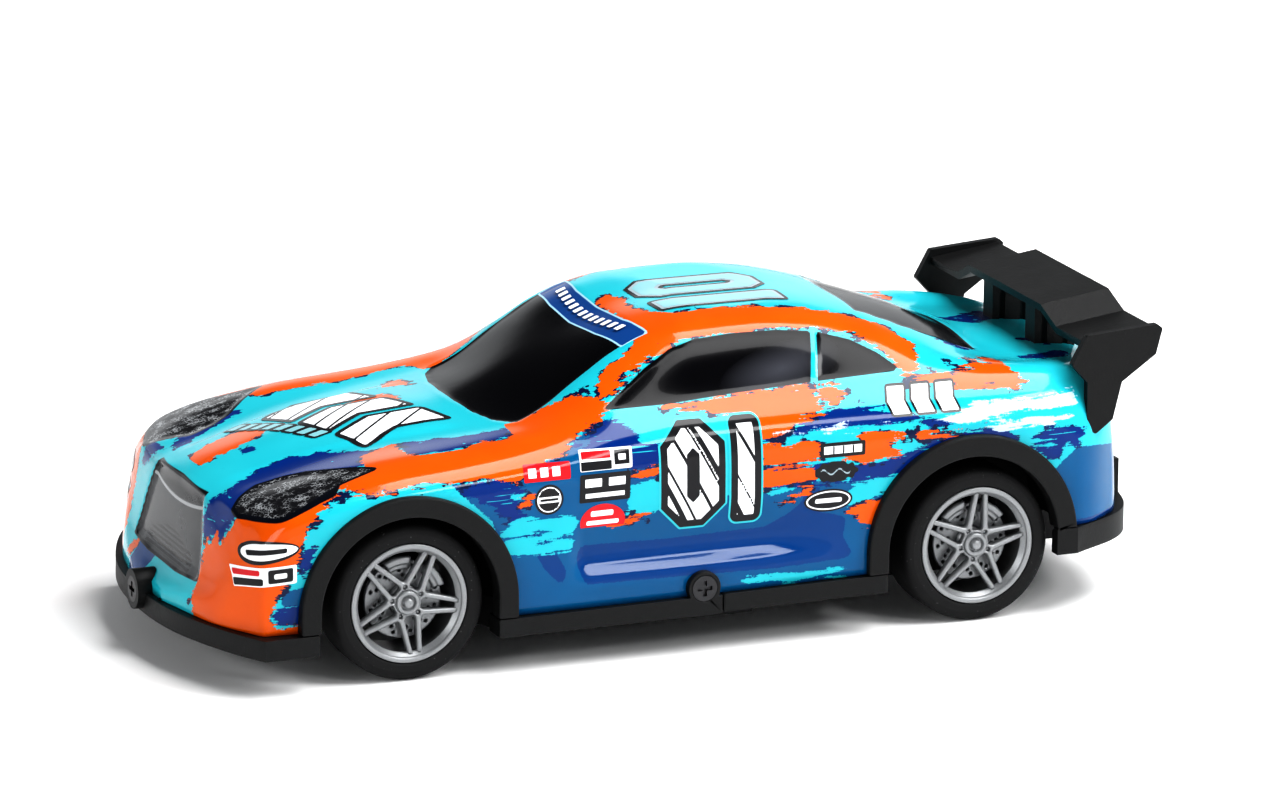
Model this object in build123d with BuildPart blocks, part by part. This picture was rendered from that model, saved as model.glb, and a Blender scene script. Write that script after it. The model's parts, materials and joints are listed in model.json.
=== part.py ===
from build123d import *
import os
from math import acos, atan2, cos, pi, radians, sin, sqrt, tan

# A 1:24 remote control car. X is across the car, -Y is its front, Z is up and the ground is Z = 0.
# The origin is on the ground in the middle of the car's box.

# Driving dimensions, millimetres
WHEELBASE = 116.0
FRONT_Y = -WHEELBASE / 2
REAR_Y = WHEELBASE / 2
TYRE_R = 15.1
AXLE_Z = TYRE_R
WHEEL_W = 12.0
WHEEL_X = 33.5  # middle of a wheel
BEAD_R = 11.0  # where the tyre sits on the rim
RIM_R = 11.5
HALF_LENGTH = 99.5
FACE_X = 41.7  # outer face of the arches and skirts
SHELL_T = 1.0
KINGPIN_X = 24.6
KINGPIN_R = 1.0
STEER_ARM = 11.0
STUB_R = 1.25
AXLE_R = 1.5
RUN = 0.05  # radial clearance of parts that turn on each other
FLOOR_Z = 5.6
FLOOR_T = 1.6
FLOOR_TOP = FLOOR_Z + FLOOR_T
MODULE = 0.5
AXLE_TEETH = 38
SMALL_TEETH = 12
LARGE_TEETH = 30
MOTOR_TEETH = 9

os.makedirs("parts", exist_ok=True)


def save(part, name):
    """Label one sub-part and write it."""
    part.label = name
    export_step(part, f"parts/{name}.step")


# ---------------------------------------------------------------- body shell
# Each line runs from nose to tail as (y, x, z); together they are one half of the body's net.
SILL = [(-96.6, 9.0, 11.4), (-92.7, 26.6, 11.4), (-89.4, 33.8, 11.4), (-86.0, 38.9, 11.4), (-36.0, 40.2, 10.9),
        (36.0, 40.2, 11.9), (58.0, 40.4, 14.0), (78.0, 40.2, 17.4), (88.7, 34.0, 17.4), (93.8, 23.0, 17.4),
        (95.4, 8.0, 17.4)]
WAIST = [(-96.6, 9.0, 12.0), (-92.7, 26.2, 13.6), (-89.4, 33.6, 16.5), (-86.0, 38.5, 20.0), (-76.0, 40.4, 25.0),
         (-58.0, 40.6, 26.0), (0.0, 39.6, 26.5), (36.0, 40.0, 28.0), (78.0, 40.2, 29.0), (88.7, 33.4, 28.5),
         (93.8, 21.6, 24.5), (95.4, 7.8, 18.6)]
SHOULDER = [(-96.6, 8.6, 12.9), (-92.7, 24.4, 16.0), (-89.4, 31.9, 22.5), (-86.0, 36.8, 29.4), (-80.0, 39.0, 33.6),
            (-70.0, 39.6, 35.8), (-58.0, 39.8, 37.0), (-36.0, 39.2, 38.6), (0.0, 38.4, 41.6), (30.0, 38.5, 42.0),
            (58.0, 39.2, 42.0), (74.0, 38.8, 41.0), (82.0, 37.0, 39.8), (88.0, 33.0, 37.6), (93.8, 20.0, 29.0),
            (95.4, 7.2, 19.0)]
BELT = [(-96.6, 7.2, 13.3), (-92.5, 20.5, 17.4), (-89.6, 26.2, 26.5), (-87.8, 28.4, 31.6), (-80.0, 31.0, 35.6),
        (-70.0, 32.2, 38.4), (-58.0, 32.8, 40.4), (-46.0, 33.0, 41.3), (-36.0, 33.1, 42.2), (-26.0, 33.3, 43.6),
        (-14.0, 33.4, 46.4), (0.0, 33.3, 47.9), (44.0, 33.0, 48.6), (70.0, 33.0, 47.6), (80.0, 32.0, 46.4),
        (86.0, 30.2, 45.0), (90.5, 26.8, 42.6), (94.2, 15.5, 31.0), (95.4, 6.0, 19.4)]
RAIL = [(-96.6, 4.5, 13.5), (-93.1, 11.8, 17.2), (-91.9, 12.6, 22.0), (-89.4, 13.7, 32.3), (-79.3, 16.0, 35.6),
        (-64.0, 18.0, 39.3), (-34.0, 21.2, 43.0), (-30.0, 21.8, 43.8), (-16.0, 22.8, 52.0), (-9.5, 23.2, 55.6),
        (-3.0, 23.6, 57.8), (4.0, 24.0, 58.9), (18.0, 24.2, 59.2), (30.0, 24.0, 58.2), (42.0, 23.5, 55.6),
        (52.0, 22.9, 52.4), (70.0, 21.6, 47.2), (88.0, 19.6, 45.5), (92.2, 17.0, 43.6), (94.8, 9.0, 28.5),
        (95.4, 4.5, 19.8)]
CENTRE = [(-96.6, 0.0, 13.6), (-93.4, 0.0, 16.7), (-92.5, 0.0, 20.0), (-89.8, 0.0, 32.6), (-80.0, 0.0, 36.8),
          (-64.0, 0.0, 40.5), (-36.0, 0.0, 44.0), (-33.0, 0.0, 44.8), (-16.0, 0.0, 53.8), (-9.0, 0.0, 57.0),
          (-2.0, 0.0, 59.4), (6.0, 0.0, 60.7), (16.0, 0.0, 61.2), (26.0, 0.0, 60.9), (36.0, 0.0, 59.7),
          (46.0, 0.0, 57.4), (56.0, 0.0, 54.2), (71.0, 0.0, 48.0), (88.0, 0.0, 46.1), (92.6, 0.0, 44.8),
          (94.0, 0.0, 39.5), (95.4, 0.0, 20.0)]
LINES = [SILL, WAIST, SHOULDER, BELT, RAIL, CENTRE]
STATIONS = [-96.6, -95.4, -94.1, -92.4, -90.8, -88.5, -86.5, -80, -70, -58, -46, -36, -30, -16, -9, -2, 6, 16,
            26, 36, 46, 58, 70, 80, 86, 90.5, 92.2, 93.8, 95.4]


def on_line(line, y):
    """The point (x, z) where a line of the net passes the station y."""
    for (y0, x0, z0), (y1, x1, z1) in zip(line, line[1:]):
        if y <= y1:
            t = (y - y0) / (y1 - y0)
            return x0 + t * (x1 - x0), z0 + t * (z1 - z0)
    return line[-1][1], line[-1][2]


def body_section(y, inset):
    """Closed section of the body at y, drawn in by the wall and left long at the bottom when inset."""
    half = [on_line(line, y) for line in LINES]
    if inset:
        half = [(x * (1 - inset / 38), z - inset * (0.35 + 0.65 * min(1, i / 3))) for i, (x, z) in enumerate(half)]
        half[0] = (half[0][0], half[0][1] - 4)
    left = [(-x, z) for x, z in reversed(half[:-1])]
    with BuildSketch(Plane.XZ.offset(-y)) as section:
        with BuildLine():
            Polyline(*half, *left, close=True)
        make_face()
    return section.sketch


ARCHES = {"front": (-58.4, 14.6, 17.6, 21.6), "rear": (56.4, 15.7, 17.6, 21.8)}  # y, z, inner and outer radius
ARCH_FOOT = {"front": (11.4, 10.8), "rear": (11.8, 17.4)}  # height of the front and the rear foot
ARCH_X = 37.6  # inner face of the arches
WING_POST_X = 10.0
POST_Y = 86.0
BOSS_R = 3.85
FRONT_BOSS_Z = 11.5
REAR_BOSS_Z = 15.0
SIDE_BOSS_R = 3.3
SIDE_SCREW_Y = 0.7
SIDE_SCREW_Z = 12.8
HEAD_R = 2.5
HEAD_H = 1.2
SHANK_R = 1.2
FIT = 0.06  # clearance round pieces that sit in a cut-out

with BuildPart() as form:
    loft([body_section(y, 0) for y in STATIONS], ruled=True)

with BuildPart() as shell:
    add(form.part)
    inner_stations = [STATIONS[0] + SHELL_T, *STATIONS[2:-2]]
    loft([body_section(y, SHELL_T) for y in inner_stations], ruled=True, mode=Mode.SUBTRACT)
    for arch_y, arch_z, inner_r, outer_r in ARCHES.values():
        with Locations(Location((0, arch_y, arch_z), (0, 90, 0))):
            Cylinder(outer_r + FIT, 100, mode=Mode.SUBTRACT)
        with Locations((0, arch_y, arch_z - 8)):
            Box(100, 2 * (outer_r + FIT), 16, mode=Mode.SUBTRACT)
    with Locations(Location((0, SIDE_SCREW_Y, SIDE_SCREW_Z), (0, 90, 0))):
        Cylinder(SIDE_BOSS_R + FIT, 100, mode=Mode.SUBTRACT)
    with Locations(Location((0, -HALF_LENGTH, FRONT_BOSS_Z), (90, 0, 0))):
        Cylinder(BOSS_R, 20, mode=Mode.SUBTRACT)
    with Locations((WING_POST_X, POST_Y, 45), (-WING_POST_X, POST_Y, 45)):
        Cylinder(1.0, 12, mode=Mode.SUBTRACT)
save(shell.part, "body_shell")


# ------------------------------------------------- arches, skirts and bumpers
def side_piece(name, face, thickness=FACE_X - ARCH_X):
    """Extrude one outline of the car's side into a left and a right piece."""
    for side, label in ((1, "left"), (-1, "right")):
        with BuildPart() as piece:
            extrude(face, amount=thickness)
            with Locations(Location((FACE_X, SIDE_SCREW_Y, SIDE_SCREW_Z), (0, 90, 0))):
                Cylinder(HEAD_R, 2 * HEAD_H, mode=Mode.SUBTRACT)
            if side < 0:
                mirror(about=Plane.YZ, mode=Mode.REPLACE)
        save(piece.part, f"{label}_{name}")


for end, (arch_y, arch_z, inner_r, outer_r) in ARCHES.items():
    with BuildSketch(Plane.YZ.offset(ARCH_X)) as arch:
        with Locations((arch_y, arch_z)):
            Circle(outer_r)
            Circle(inner_r, mode=Mode.SUBTRACT)
        for direction, foot in zip((-1, 1), ARCH_FOOT[end]):
            with Locations((arch_y + direction * outer_r, max(foot, arch_z) - outer_r)):
                Rectangle(2 * outer_r, 2 * outer_r, mode=Mode.SUBTRACT)
            if foot < arch_z:
                with Locations((arch_y + direction * (inner_r + outer_r) / 2, (arch_z + foot) / 2)):
                    Rectangle(outer_r - inner_r, arch_z - foot)
    side_piece(f"{end}_arch", arch.sketch)

SEAM_Y = 4.4  # where the front and rear skirts meet
SEAM_GAP = 0.3
SKIRT_X = 36.0  # inner face of the skirts
with BuildSketch(Plane.YZ.offset(SKIRT_X)) as front_skirt:
    with BuildLine():
        Polyline((-40.8, 7.2), (SEAM_Y, 7.6), (SEAM_Y, 11.2), (-40.8, 10.7), close=True)
    make_face()
    with Locations((SIDE_SCREW_Y, SIDE_SCREW_Z)):
        Circle(SIDE_BOSS_R)
        Circle(SHANK_R, mode=Mode.SUBTRACT)
side_piece("front_skirt", front_skirt.sketch, FACE_X - SKIRT_X)

with BuildSketch(Plane.YZ.offset(SKIRT_X)) as rear_skirt:
    with BuildLine():
        Polyline((SEAM_Y + SEAM_GAP, 7.7), (38.8, 8.1), (38.8, 11.7), (SEAM_Y + SEAM_GAP, 11.2), close=True)
    make_face()
side_piece("rear_skirt", rear_skirt.sketch, FACE_X - 0.4 - SKIRT_X)


def bumper(outline, width, low, high, boss_z, side, label, raised=0):
    """A strip round one end of the car with the boss of its middle screw; side is -1 at the nose."""
    middle_y = outline[0][1]
    tip_y = outline[-1][1]
    outer = outline[:-1]
    inner = [(x - width * (x > CORNER_X), y - side * width) for x, y in outer]
    with BuildPart() as strip:
        with BuildSketch(Plane.XY.offset(low)):
            for edge, mode in ((outer, Mode.ADD), (inner, Mode.SUBTRACT)):
                with BuildSketch(mode=mode):
                    with BuildLine():
                        run = Spline(*edge)
                        Polyline(run @ 1, (edge[-1][0], tip_y), (0, tip_y), run @ 0)
                    make_face()
            mirror(about=Plane.YZ)
        extrude(amount=high - low)
        if raised:
            with Locations((0, middle_y - side * width / 2, (low + raised) / 2)):
                Box(BOX_WIDTH, width, raised - low)
        with Locations(Location((0, side * HALF_LENGTH, boss_z), (side * 90, 0, 0))):
            Cylinder(BOSS_R, 5, align=(Align.CENTER, Align.CENTER, Align.MIN))
            Cylinder(SHANK_R, 40, mode=Mode.SUBTRACT)
            Cylinder(HEAD_R, 2 * HEAD_H, mode=Mode.SUBTRACT)
        add(form.part, mode=Mode.SUBTRACT)
    save(strip.part, label)


CORNER_X = 36.0  # the strips' ends run straight outside this
BOX_WIDTH = 34.0  # raised middle of the rear strip
bumper([(0, -98), (11.4, -97.5), (20.3, -95.9), (27.2, -93.8), (35.3, -90.6), (FACE_X, -87.3), (FACE_X, -76.5)],
       4.5, 7.3, 11.3, FRONT_BOSS_Z, -1, "front_bumper_strip")
bumper([(0, 98.2), (12, 97.8), (22, 96.2), (30.1, 93.2), (35.4, 88.4), (38.6, 83.4), (FACE_X, 78.2), (FACE_X, 73.9)],
       2.6, 12.2, 17.3, REAR_BOSS_Z, 1, "rear_bumper_strip", 23)


# ---------------------------------------------------------------------- wing
WING_HALF = 38.1
PLATE_T = 1.6
BLADE_T = 1.5
BLADE_PITCH = 8.0  # nose-down slope of the blade, degrees
BLADE_Y = 80.6
BLADE_CHORD = 14.6
BLADE_Z = 55.6  # front edge of the raised middle
BLADE_DROP = 3.0  # the outer parts of the blade lie this much lower

with BuildPart() as wing:
    with BuildSketch(Plane.YZ.offset(WING_HALF - PLATE_T)) as plate:
        with BuildLine():
            Polyline((81.0, 54.2), (77.9, 48.6), (81.2, 45.0), (81.3, 35.6), (83.2, 34.6), (86.7, 37.2),
                     (88.5, 44.5), (95.6, 49.4), (96.9, 54.4), (95.8, 55.3), close=True)
        make_face()
        fillet(plate.vertices(), 0.5)
    extrude(amount=PLATE_T)
    pitch = radians(BLADE_PITCH)
    blade_plane = Plane((0, BLADE_Y, BLADE_Z), x_dir=(-1, 0, 0), z_dir=(0, cos(pitch), sin(pitch)))
    with BuildSketch(blade_plane):
        with BuildLine():
            Polyline((0, 0), (-17, 0), (-23.5, -BLADE_DROP), (PLATE_T - WING_HALF, -BLADE_DROP),
                     (PLATE_T - WING_HALF, -BLADE_DROP - BLADE_T), (-23.2, -BLADE_DROP - BLADE_T),
                     (-16.7, -BLADE_T), (0, -BLADE_T), close=True)
        make_face()
    extrude(amount=BLADE_CHORD)
    with BuildSketch(Plane.XY.offset(44)):
        with Locations((WING_POST_X, POST_Y)):
            Rectangle(4.4, 8.6)
            with Locations((2.2, -2.2), (2.2, 2.2), (-2.2, -2.2), (-2.2, 2.2)):
                Circle(0.6, mode=Mode.SUBTRACT)
    extrude(amount=10.9)
    mirror(about=Plane.YZ)
    add(form.part, mode=Mode.SUBTRACT)
    with Locations((WING_POST_X, POST_Y, 44), (-WING_POST_X, POST_Y, 44)):
        Cylinder(0.9, 16, mode=Mode.SUBTRACT)
save(wing.part, "rear_wing")

with BuildPart() as wing_screws:
    with Locations((WING_POST_X, POST_Y, 0), (-WING_POST_X, POST_Y, 0)):
        with Locations((0, 0, 43.3)):
            Cylinder(1.8, HEAD_H, align=(Align.CENTER, Align.CENTER, Align.MIN))
        with Locations((0, 0, 44.4)):
            Cylinder(0.9, 7, align=(Align.CENTER, Align.CENTER, Align.MIN))
save(wing_screws.part, "wing_screws")

# ------------------------------------------------------------------- chassis
BAY_X = 27.0
BAY_Y = 15.8
BAY_TOP = 22.0
WALL = 1.6
CELL_R = 7.0
CELL_LENGTH = 50.0
CELL_Z = 14.7
CHAMBER_X = (0.0, 15.0)
CHAMBER_Y = (32.0, 71.0)
MOTOR_R = 9.0
GEAR_PIN_Y = 46.5
MESH_SLACK = 0.06
AXLE_MESH = MODULE * (AXLE_TEETH + SMALL_TEETH) / 2 + MESH_SLACK
MOTOR_MESH = MODULE * (LARGE_TEETH + MOTOR_TEETH) / 2 + MESH_SLACK
GEAR_PIN_Z = AXLE_Z + sqrt(AXLE_MESH ** 2 - (REAR_Y - GEAR_PIN_Y) ** 2)
MOTOR_Y = GEAR_PIN_Y - 9.0
MOTOR_Z = GEAR_PIN_Z + sqrt(MOTOR_MESH ** 2 - 9.0 ** 2)
SWITCH_X = 24.0
SWITCH_Y = 25.0
SWITCH_TRAVEL = 3.0
POST_DEPTH = 6.0
BOARD_Z = 24.6

MIN = (Align.CENTER, Align.CENTER, Align.MIN)

with BuildPart() as tray:
    with BuildSketch(Plane.XY.offset(FLOOR_Z)) as plan:
        with BuildLine():
            Polyline((0, -93), (8, -93), (8, -80), (18, -74), (18, -43), (33, -36), (33, 36), (22, 40), (22, 76),
                     (9, 82), (9, 92), (0, 92))
            Line((0, 92), (0, -93))
        make_face()
        mirror(about=Plane.YZ)
    extrude(amount=FLOOR_T)
    extrude(plan.sketch, amount=6)
    with BuildSketch(Plane.XY.offset(FLOOR_TOP)):
        add(plan.sketch)
        offset(amount=-WALL, kind=Kind.INTERSECTION)
    extrude(amount=20, mode=Mode.SUBTRACT)
    with Locations((0, 0, FLOOR_Z)):
        Box(2 * (BAY_X + WALL), 2 * (BAY_Y + WALL), BAY_TOP + WALL - FLOOR_Z, align=MIN)
        Box(2 * BAY_X, 2 * BAY_Y, BAY_TOP - FLOOR_Z, align=MIN, mode=Mode.SUBTRACT)
    with GridLocations(30, 18, 2, 2):
        with Locations((0, 0, BAY_TOP)):
            Cylinder(1.2, BOARD_Z - BAY_TOP, align=MIN)
    for post_y, screw_z in ((-93 + POST_DEPTH / 2, FRONT_BOSS_Z), (92 - POST_DEPTH / 2, REAR_BOSS_Z)):
        with Locations((0, post_y, FLOOR_Z)):
            Box(9, POST_DEPTH, screw_z + 3 - FLOOR_Z, align=MIN)
    for side in (-1, 1):
        with Locations((side * (32 + 35.7) / 2, SIDE_SCREW_Y, FLOOR_Z)):
            Box(35.7 - 32, 9, SIDE_SCREW_Z + 3 - FLOOR_Z, align=MIN)
        with Locations((side * (BAY_X + 1.0), -BAY_Y / 2, FLOOR_Z)):
            Box(1.6, 3 * BAY_Y, 2.3, align=(Align.CENTER, Align.CENTER, Align.MAX))
        with Locations((side * (BAY_X + 0.2), -BAY_Y / 2, FLOOR_Z - 1.7)):
            Box(3.2, 3 * BAY_Y, 0.6, align=(Align.CENTER, Align.CENTER, Align.MAX))
    with Locations(Location((0, SIDE_SCREW_Y, SIDE_SCREW_Z), (0, 90, 0))):
        Cylinder(SHANK_R, 100, mode=Mode.SUBTRACT)
    with Locations((0, FRONT_Y, FLOOR_TOP)):
        Box(60, 9.4, 10, align=MIN, mode=Mode.SUBTRACT)
    with Locations(Location((0, -93, FRONT_BOSS_Z), (90, 0, 0)), Location((0, 92, REAR_BOSS_Z), (90, 0, 0))):
        Cylinder(SHANK_R, 2 * POST_DEPTH, mode=Mode.SUBTRACT)
    with Locations((sum(CHAMBER_X) / 2, sum(CHAMBER_Y) / 2, FLOOR_Z)):
        Box(15.6, 39.6, 10, mode=Mode.SUBTRACT)
    with Locations((-14, MOTOR_Y, FLOOR_Z)):
        Box(20, 12, MOTOR_Z - MOTOR_R + 1 - FLOOR_Z, align=MIN)
    with Locations(Location((-14, MOTOR_Y, MOTOR_Z), (0, 90, 0))):
        Cylinder(MOTOR_R + FIT, 60, mode=Mode.SUBTRACT)
    with Locations((SWITCH_X, SWITCH_Y, FLOOR_Z)):
        Box(3.2, 4 + SWITCH_TRAVEL + 0.6, 8, mode=Mode.SUBTRACT)
save(tray.part, "chassis_tray")

with BuildPart() as battery:
    for row in (-1, 1):
        with Locations(Location((0, row * (CELL_R + 0.2), CELL_Z), (0, 90, 0))):
            Cylinder(CELL_R + 0.3, CELL_LENGTH)
    with Locations((0, 0, CELL_Z)):
        Box(CELL_LENGTH, 2 * CELL_R, 4)
save(battery.part, "battery_pack")

with BuildPart() as door:
    with Locations((0, 0, FLOOR_Z - 1.5)):
        Box(2 * BAY_X - 0.6, 2 * BAY_Y, 1.2, align=MIN)
        with Locations((0, -12, 0)):
            with GridLocations(0, 1.6, 1, 4):
                Box(18, 0.7, 0.4, align=(Align.CENTER, Align.CENTER, Align.MAX))
save(door.part, "battery_door")

with BuildPart() as switch:
    with Locations((SWITCH_X, SWITCH_Y, FLOOR_TOP)):
        Box(6.4, 13, 5, align=MIN)
        Box(3.4, 4 + SWITCH_TRAVEL + 0.8, 2 * 1.9, mode=Mode.SUBTRACT)
save(switch.part, "power_switch_body")

with BuildPart() as slider:
    with Locations((SWITCH_X, SWITCH_Y - SWITCH_TRAVEL / 2, FLOOR_Z - 1.0)):
        Box(2.6, 4, 4.2, align=MIN)
save(slider.part, "power_switch_slider")

with BuildPart() as board:
    with Locations((0, 0, BOARD_Z)):
        Box(40, 26, 1.2, align=MIN)
    with Locations((0, 0, BOARD_Z + 1.2)):
        with Locations((-8, 2, 0)):
            Box(9, 9, 1.6, align=MIN)
        with Locations((8, -5, 0)):
            Box(6, 5, 1.4, align=MIN)
        with Locations((8, 6, 0)):
            Box(10, 4, 3.4, align=MIN)
        with Locations((-15, -8, 0), (-8, -9, 0)):
            Cylinder(2.0, 5, align=MIN)
save(board.part, "receiver_board")

with BuildPart() as body_screws:
    screws = [Location((0, -HALF_LENGTH, FRONT_BOSS_Z), (90, 0, 0)),
              Location((0, HALF_LENGTH, REAR_BOSS_Z), (-90, 0, 0)),
              Location((FACE_X, SIDE_SCREW_Y, SIDE_SCREW_Z), (0, 90, 0)),
              Location((-FACE_X, SIDE_SCREW_Y, SIDE_SCREW_Z), (0, -90, 0))]
    with Locations(*screws):
        Cylinder(HEAD_R, HEAD_H, align=(Align.CENTER, Align.CENTER, Align.MAX))
        Cylinder(SHANK_R, 9.6, align=(Align.CENTER, Align.CENTER, Align.MAX))
        Box(3.0, 0.8, 1.2, mode=Mode.SUBTRACT)
        Box(0.8, 3.0, 1.2, mode=Mode.SUBTRACT)
save(body_screws.part, "body_screws")


# ---------------------------------------------------------------- rear drive
def gear_points(teeth, tooth_at, slack=0.05):
    """Involute outline of a spur gear; one tooth points at the angle tooth_at, in radians."""
    pressure = radians(20)
    pitch_r = MODULE * teeth / 2
    base_r = pitch_r * cos(pressure)
    radii = [pitch_r - 1.15 * MODULE, pitch_r - 0.5 * MODULE, pitch_r, pitch_r + 0.45 * MODULE, pitch_r + 0.85 * MODULE]
    flank = []
    for r in radii:
        angle = acos(min(1, base_r / r))
        involute = tan(pressure) - pressure - (tan(angle) - angle)
        flank.append((r, pi / (2 * teeth) + involute - slack / pitch_r))
    points = []
    for tooth in range(teeth):
        middle = tooth_at + 2 * pi * tooth / teeth
        points += [(r * cos(middle - half), r * sin(middle - half)) for r, half in flank]
        points += [(r * cos(middle + half), r * sin(middle + half)) for r, half in reversed(flank)]
    return points


def spur_gear(teeth, centre, x, width, tooth_at):
    """Add one gear to the open part, across the car at (y, z) = centre."""
    with BuildSketch(Plane((x, *centre), x_dir=(0, 1, 0), z_dir=(1, 0, 0))) as outline:
        with BuildLine():
            Polyline(*gear_points(teeth, tooth_at), close=True)
        make_face()
    extrude(outline.sketch, amount=width)


def rod(radius, start, end, y, z, mode=Mode.ADD):
    """A round bar across the car, from x = start to x = end."""
    with Locations(Location((start, y, z), (0, 90, 0))):
        Cylinder(radius, end - start, align=MIN, mode=mode)


TO_PIN = atan2(GEAR_PIN_Z - AXLE_Z, GEAR_PIN_Y - REAR_Y)
TO_MOTOR = atan2(MOTOR_Z - GEAR_PIN_Z, MOTOR_Y - GEAR_PIN_Y)
ARM_X = -16.0
BUSH_R = 3.0
EARS = [(17.0, 36.0), (17.0, 67.0), (-2.0, 49.6), (-2.0, 67.0)]
EAR_R = 2.2
EAR_TOP = 18.0
ARM_TOP = 20.0
GEARBOX_Z = (3.6, 30.4)
GEARBOX_WALL = 1.2

with BuildPart() as axle_gear:
    spur_gear(AXLE_TEETH, (REAR_Y, AXLE_Z), 3.0, 3.2, TO_PIN)
    rod(3.0, 3.0, 7.0, REAR_Y, AXLE_Z)
    rod(AXLE_R, 2.0, 8.0, REAR_Y, AXLE_Z, Mode.SUBTRACT)
save(axle_gear.part, "axle_gear")

with BuildPart() as compound:
    spur_gear(SMALL_TEETH, (GEAR_PIN_Y, GEAR_PIN_Z), 2.6, 4.9, TO_PIN + pi + pi / SMALL_TEETH)
    spur_gear(LARGE_TEETH, (GEAR_PIN_Y, GEAR_PIN_Z), 7.4, 3.0, TO_MOTOR)
    rod(KINGPIN_R + RUN, 2.0, 12.0, GEAR_PIN_Y, GEAR_PIN_Z, Mode.SUBTRACT)
save(compound.part, "compound_gear")

with BuildPart() as pinion:
    spur_gear(MOTOR_TEETH, (MOTOR_Y, MOTOR_Z), 7.0, 4.0, TO_MOTOR + pi + pi / MOTOR_TEETH)
    rod(1.0, 6.0, 12.0, MOTOR_Y, MOTOR_Z, Mode.SUBTRACT)
save(pinion.part, "motor_pinion")

with BuildPart() as motor_shaft:
    rod(1.0, -12.0, 11.4, MOTOR_Y, MOTOR_Z)
save(motor_shaft.part, "motor_shaft")

with BuildPart() as motor:
    rod(MOTOR_R, -26.0, -1.2, MOTOR_Y, MOTOR_Z)
    rod(3.0, -1.2, -0.1, MOTOR_Y, MOTOR_Z)
    rod(3.0, -27.4, -26.0, MOTOR_Y, MOTOR_Z)
    rod(1.0 + RUN, -12.5, 1.0, MOTOR_Y, MOTOR_Z, Mode.SUBTRACT)
save(motor.part, "motor_can")

with BuildPart() as gear_pin:
    rod(KINGPIN_R, *CHAMBER_X, GEAR_PIN_Y, GEAR_PIN_Z)
save(gear_pin.part, "gear_pin")

with BuildPart() as rear_axle:
    rod(AXLE_R, -37.4, 37.4, REAR_Y, AXLE_Z)
save(rear_axle.part, "rear_axle")

with BuildPart() as bushes:
    rod(BUSH_R, ARM_X, ARM_X + 2.4, REAR_Y, AXLE_Z)
    rod(BUSH_R, 13.8, 16.2, REAR_Y, AXLE_Z)
    rod(AXLE_R + RUN, -20, 20, REAR_Y, AXLE_Z, Mode.SUBTRACT)
save(bushes.part, "axle_bushes")


with BuildPart() as gearbox:
    with BuildSketch(Plane.YZ.offset(CHAMBER_X[0])) as chamber:
        with Locations((sum(CHAMBER_Y) / 2, (GEARBOX_Z[0] + GEARBOX_Z[1]) / 2)):
            Rectangle(CHAMBER_Y[1] - CHAMBER_Y[0], GEARBOX_Z[1] - GEARBOX_Z[0])
        chamfer(chamber.vertices().group_by(Axis.Z)[0], 5)
    extrude(amount=CHAMBER_X[1] - CHAMBER_X[0])
    with Locations((ARM_X / 2, REAR_Y, FLOOR_TOP)):
        Box(-ARM_X, 12, ARM_TOP - FLOOR_TOP, align=MIN)
    with Locations(*[(x, y, FLOOR_TOP) for x, y in EARS]):
        Cylinder(EAR_R, EAR_TOP - FLOOR_TOP, align=MIN)
        Cylinder(1.0, 40, mode=Mode.SUBTRACT)
    with BuildSketch(Plane.YZ.offset(CHAMBER_X[0] + GEARBOX_WALL)):
        add(chamber.sketch_local)
        offset(amount=-GEARBOX_WALL, kind=Kind.INTERSECTION)
    extrude(amount=CHAMBER_X[1] - CHAMBER_X[0] - 2 * GEARBOX_WALL, mode=Mode.SUBTRACT)
    rod(2.2, ARM_X - 1, 8, REAR_Y, AXLE_Z, Mode.SUBTRACT)
    rod(BUSH_R, ARM_X, ARM_X + 2.4, REAR_Y, AXLE_Z, Mode.SUBTRACT)
    rod(BUSH_R, 13.8, 16.2, REAR_Y, AXLE_Z, Mode.SUBTRACT)
    rod(KINGPIN_R, *CHAMBER_X, GEAR_PIN_Y, GEAR_PIN_Z, Mode.SUBTRACT)
    rod(1.3, -0.5, 2, MOTOR_Y, MOTOR_Z, Mode.SUBTRACT)
parting = Plane.XY.offset(AXLE_Z)
save(split(gearbox.part, bisect_by=parting, keep=Keep.BOTTOM), "gearbox_lower")
save(split(gearbox.part, bisect_by=parting, keep=Keep.TOP), "gearbox_upper")

with BuildPart() as gearbox_screws:
    with Locations(*[(x, y, EAR_TOP) for x, y in EARS]):
        Cylinder(1.8, HEAD_H, align=MIN)
        Cylinder(1.0, 9, align=(Align.CENTER, Align.CENTER, Align.MAX))
save(gearbox_screws.part, "gearbox_screws")

# -------------------------------------------------------------------- wheels
BARREL_R = 10.1
SPOKES = 5
HUB_R = 2.9
CAP_R = 2.2
DISC_R = 7.6
HALF_W = WHEEL_W / 2
WHEELS = {"left_front": (1, FRONT_Y), "right_front": (-1, FRONT_Y), "left_rear": (1, REAR_Y), "right_rear": (-1, REAR_Y)}
HUB_IN = 28.6
HUB_OUT = 39.0


def at_wheel(part, side, y):
    """Place a part built on the left side at one wheel; the right side takes the same part, turned round."""
    return Location((0, y, AXLE_Z), (0, 0, 0 if side > 0 else 180)) * part


with BuildPart() as tyre:
    with BuildSketch(Plane.XY):
        with BuildLine():
            Polyline((WHEEL_X - 5.4, BEAD_R), (WHEEL_X - 5.4, RIM_R), (WHEEL_X - 5.9, 12.4), (WHEEL_X - 5.9, 13.7),
                     (WHEEL_X - 5.2, 14.7), (WHEEL_X - 4.4, TYRE_R), (WHEEL_X + 4.4, TYRE_R),
                     (WHEEL_X + 5.2, 14.7), (WHEEL_X + 5.9, 13.7), (WHEEL_X + 5.9, 12.4), (WHEEL_X + 5.4, RIM_R),
                     (WHEEL_X + 5.4, BEAD_R), close=True)
        make_face()
    revolve(axis=Axis.X)

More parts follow.
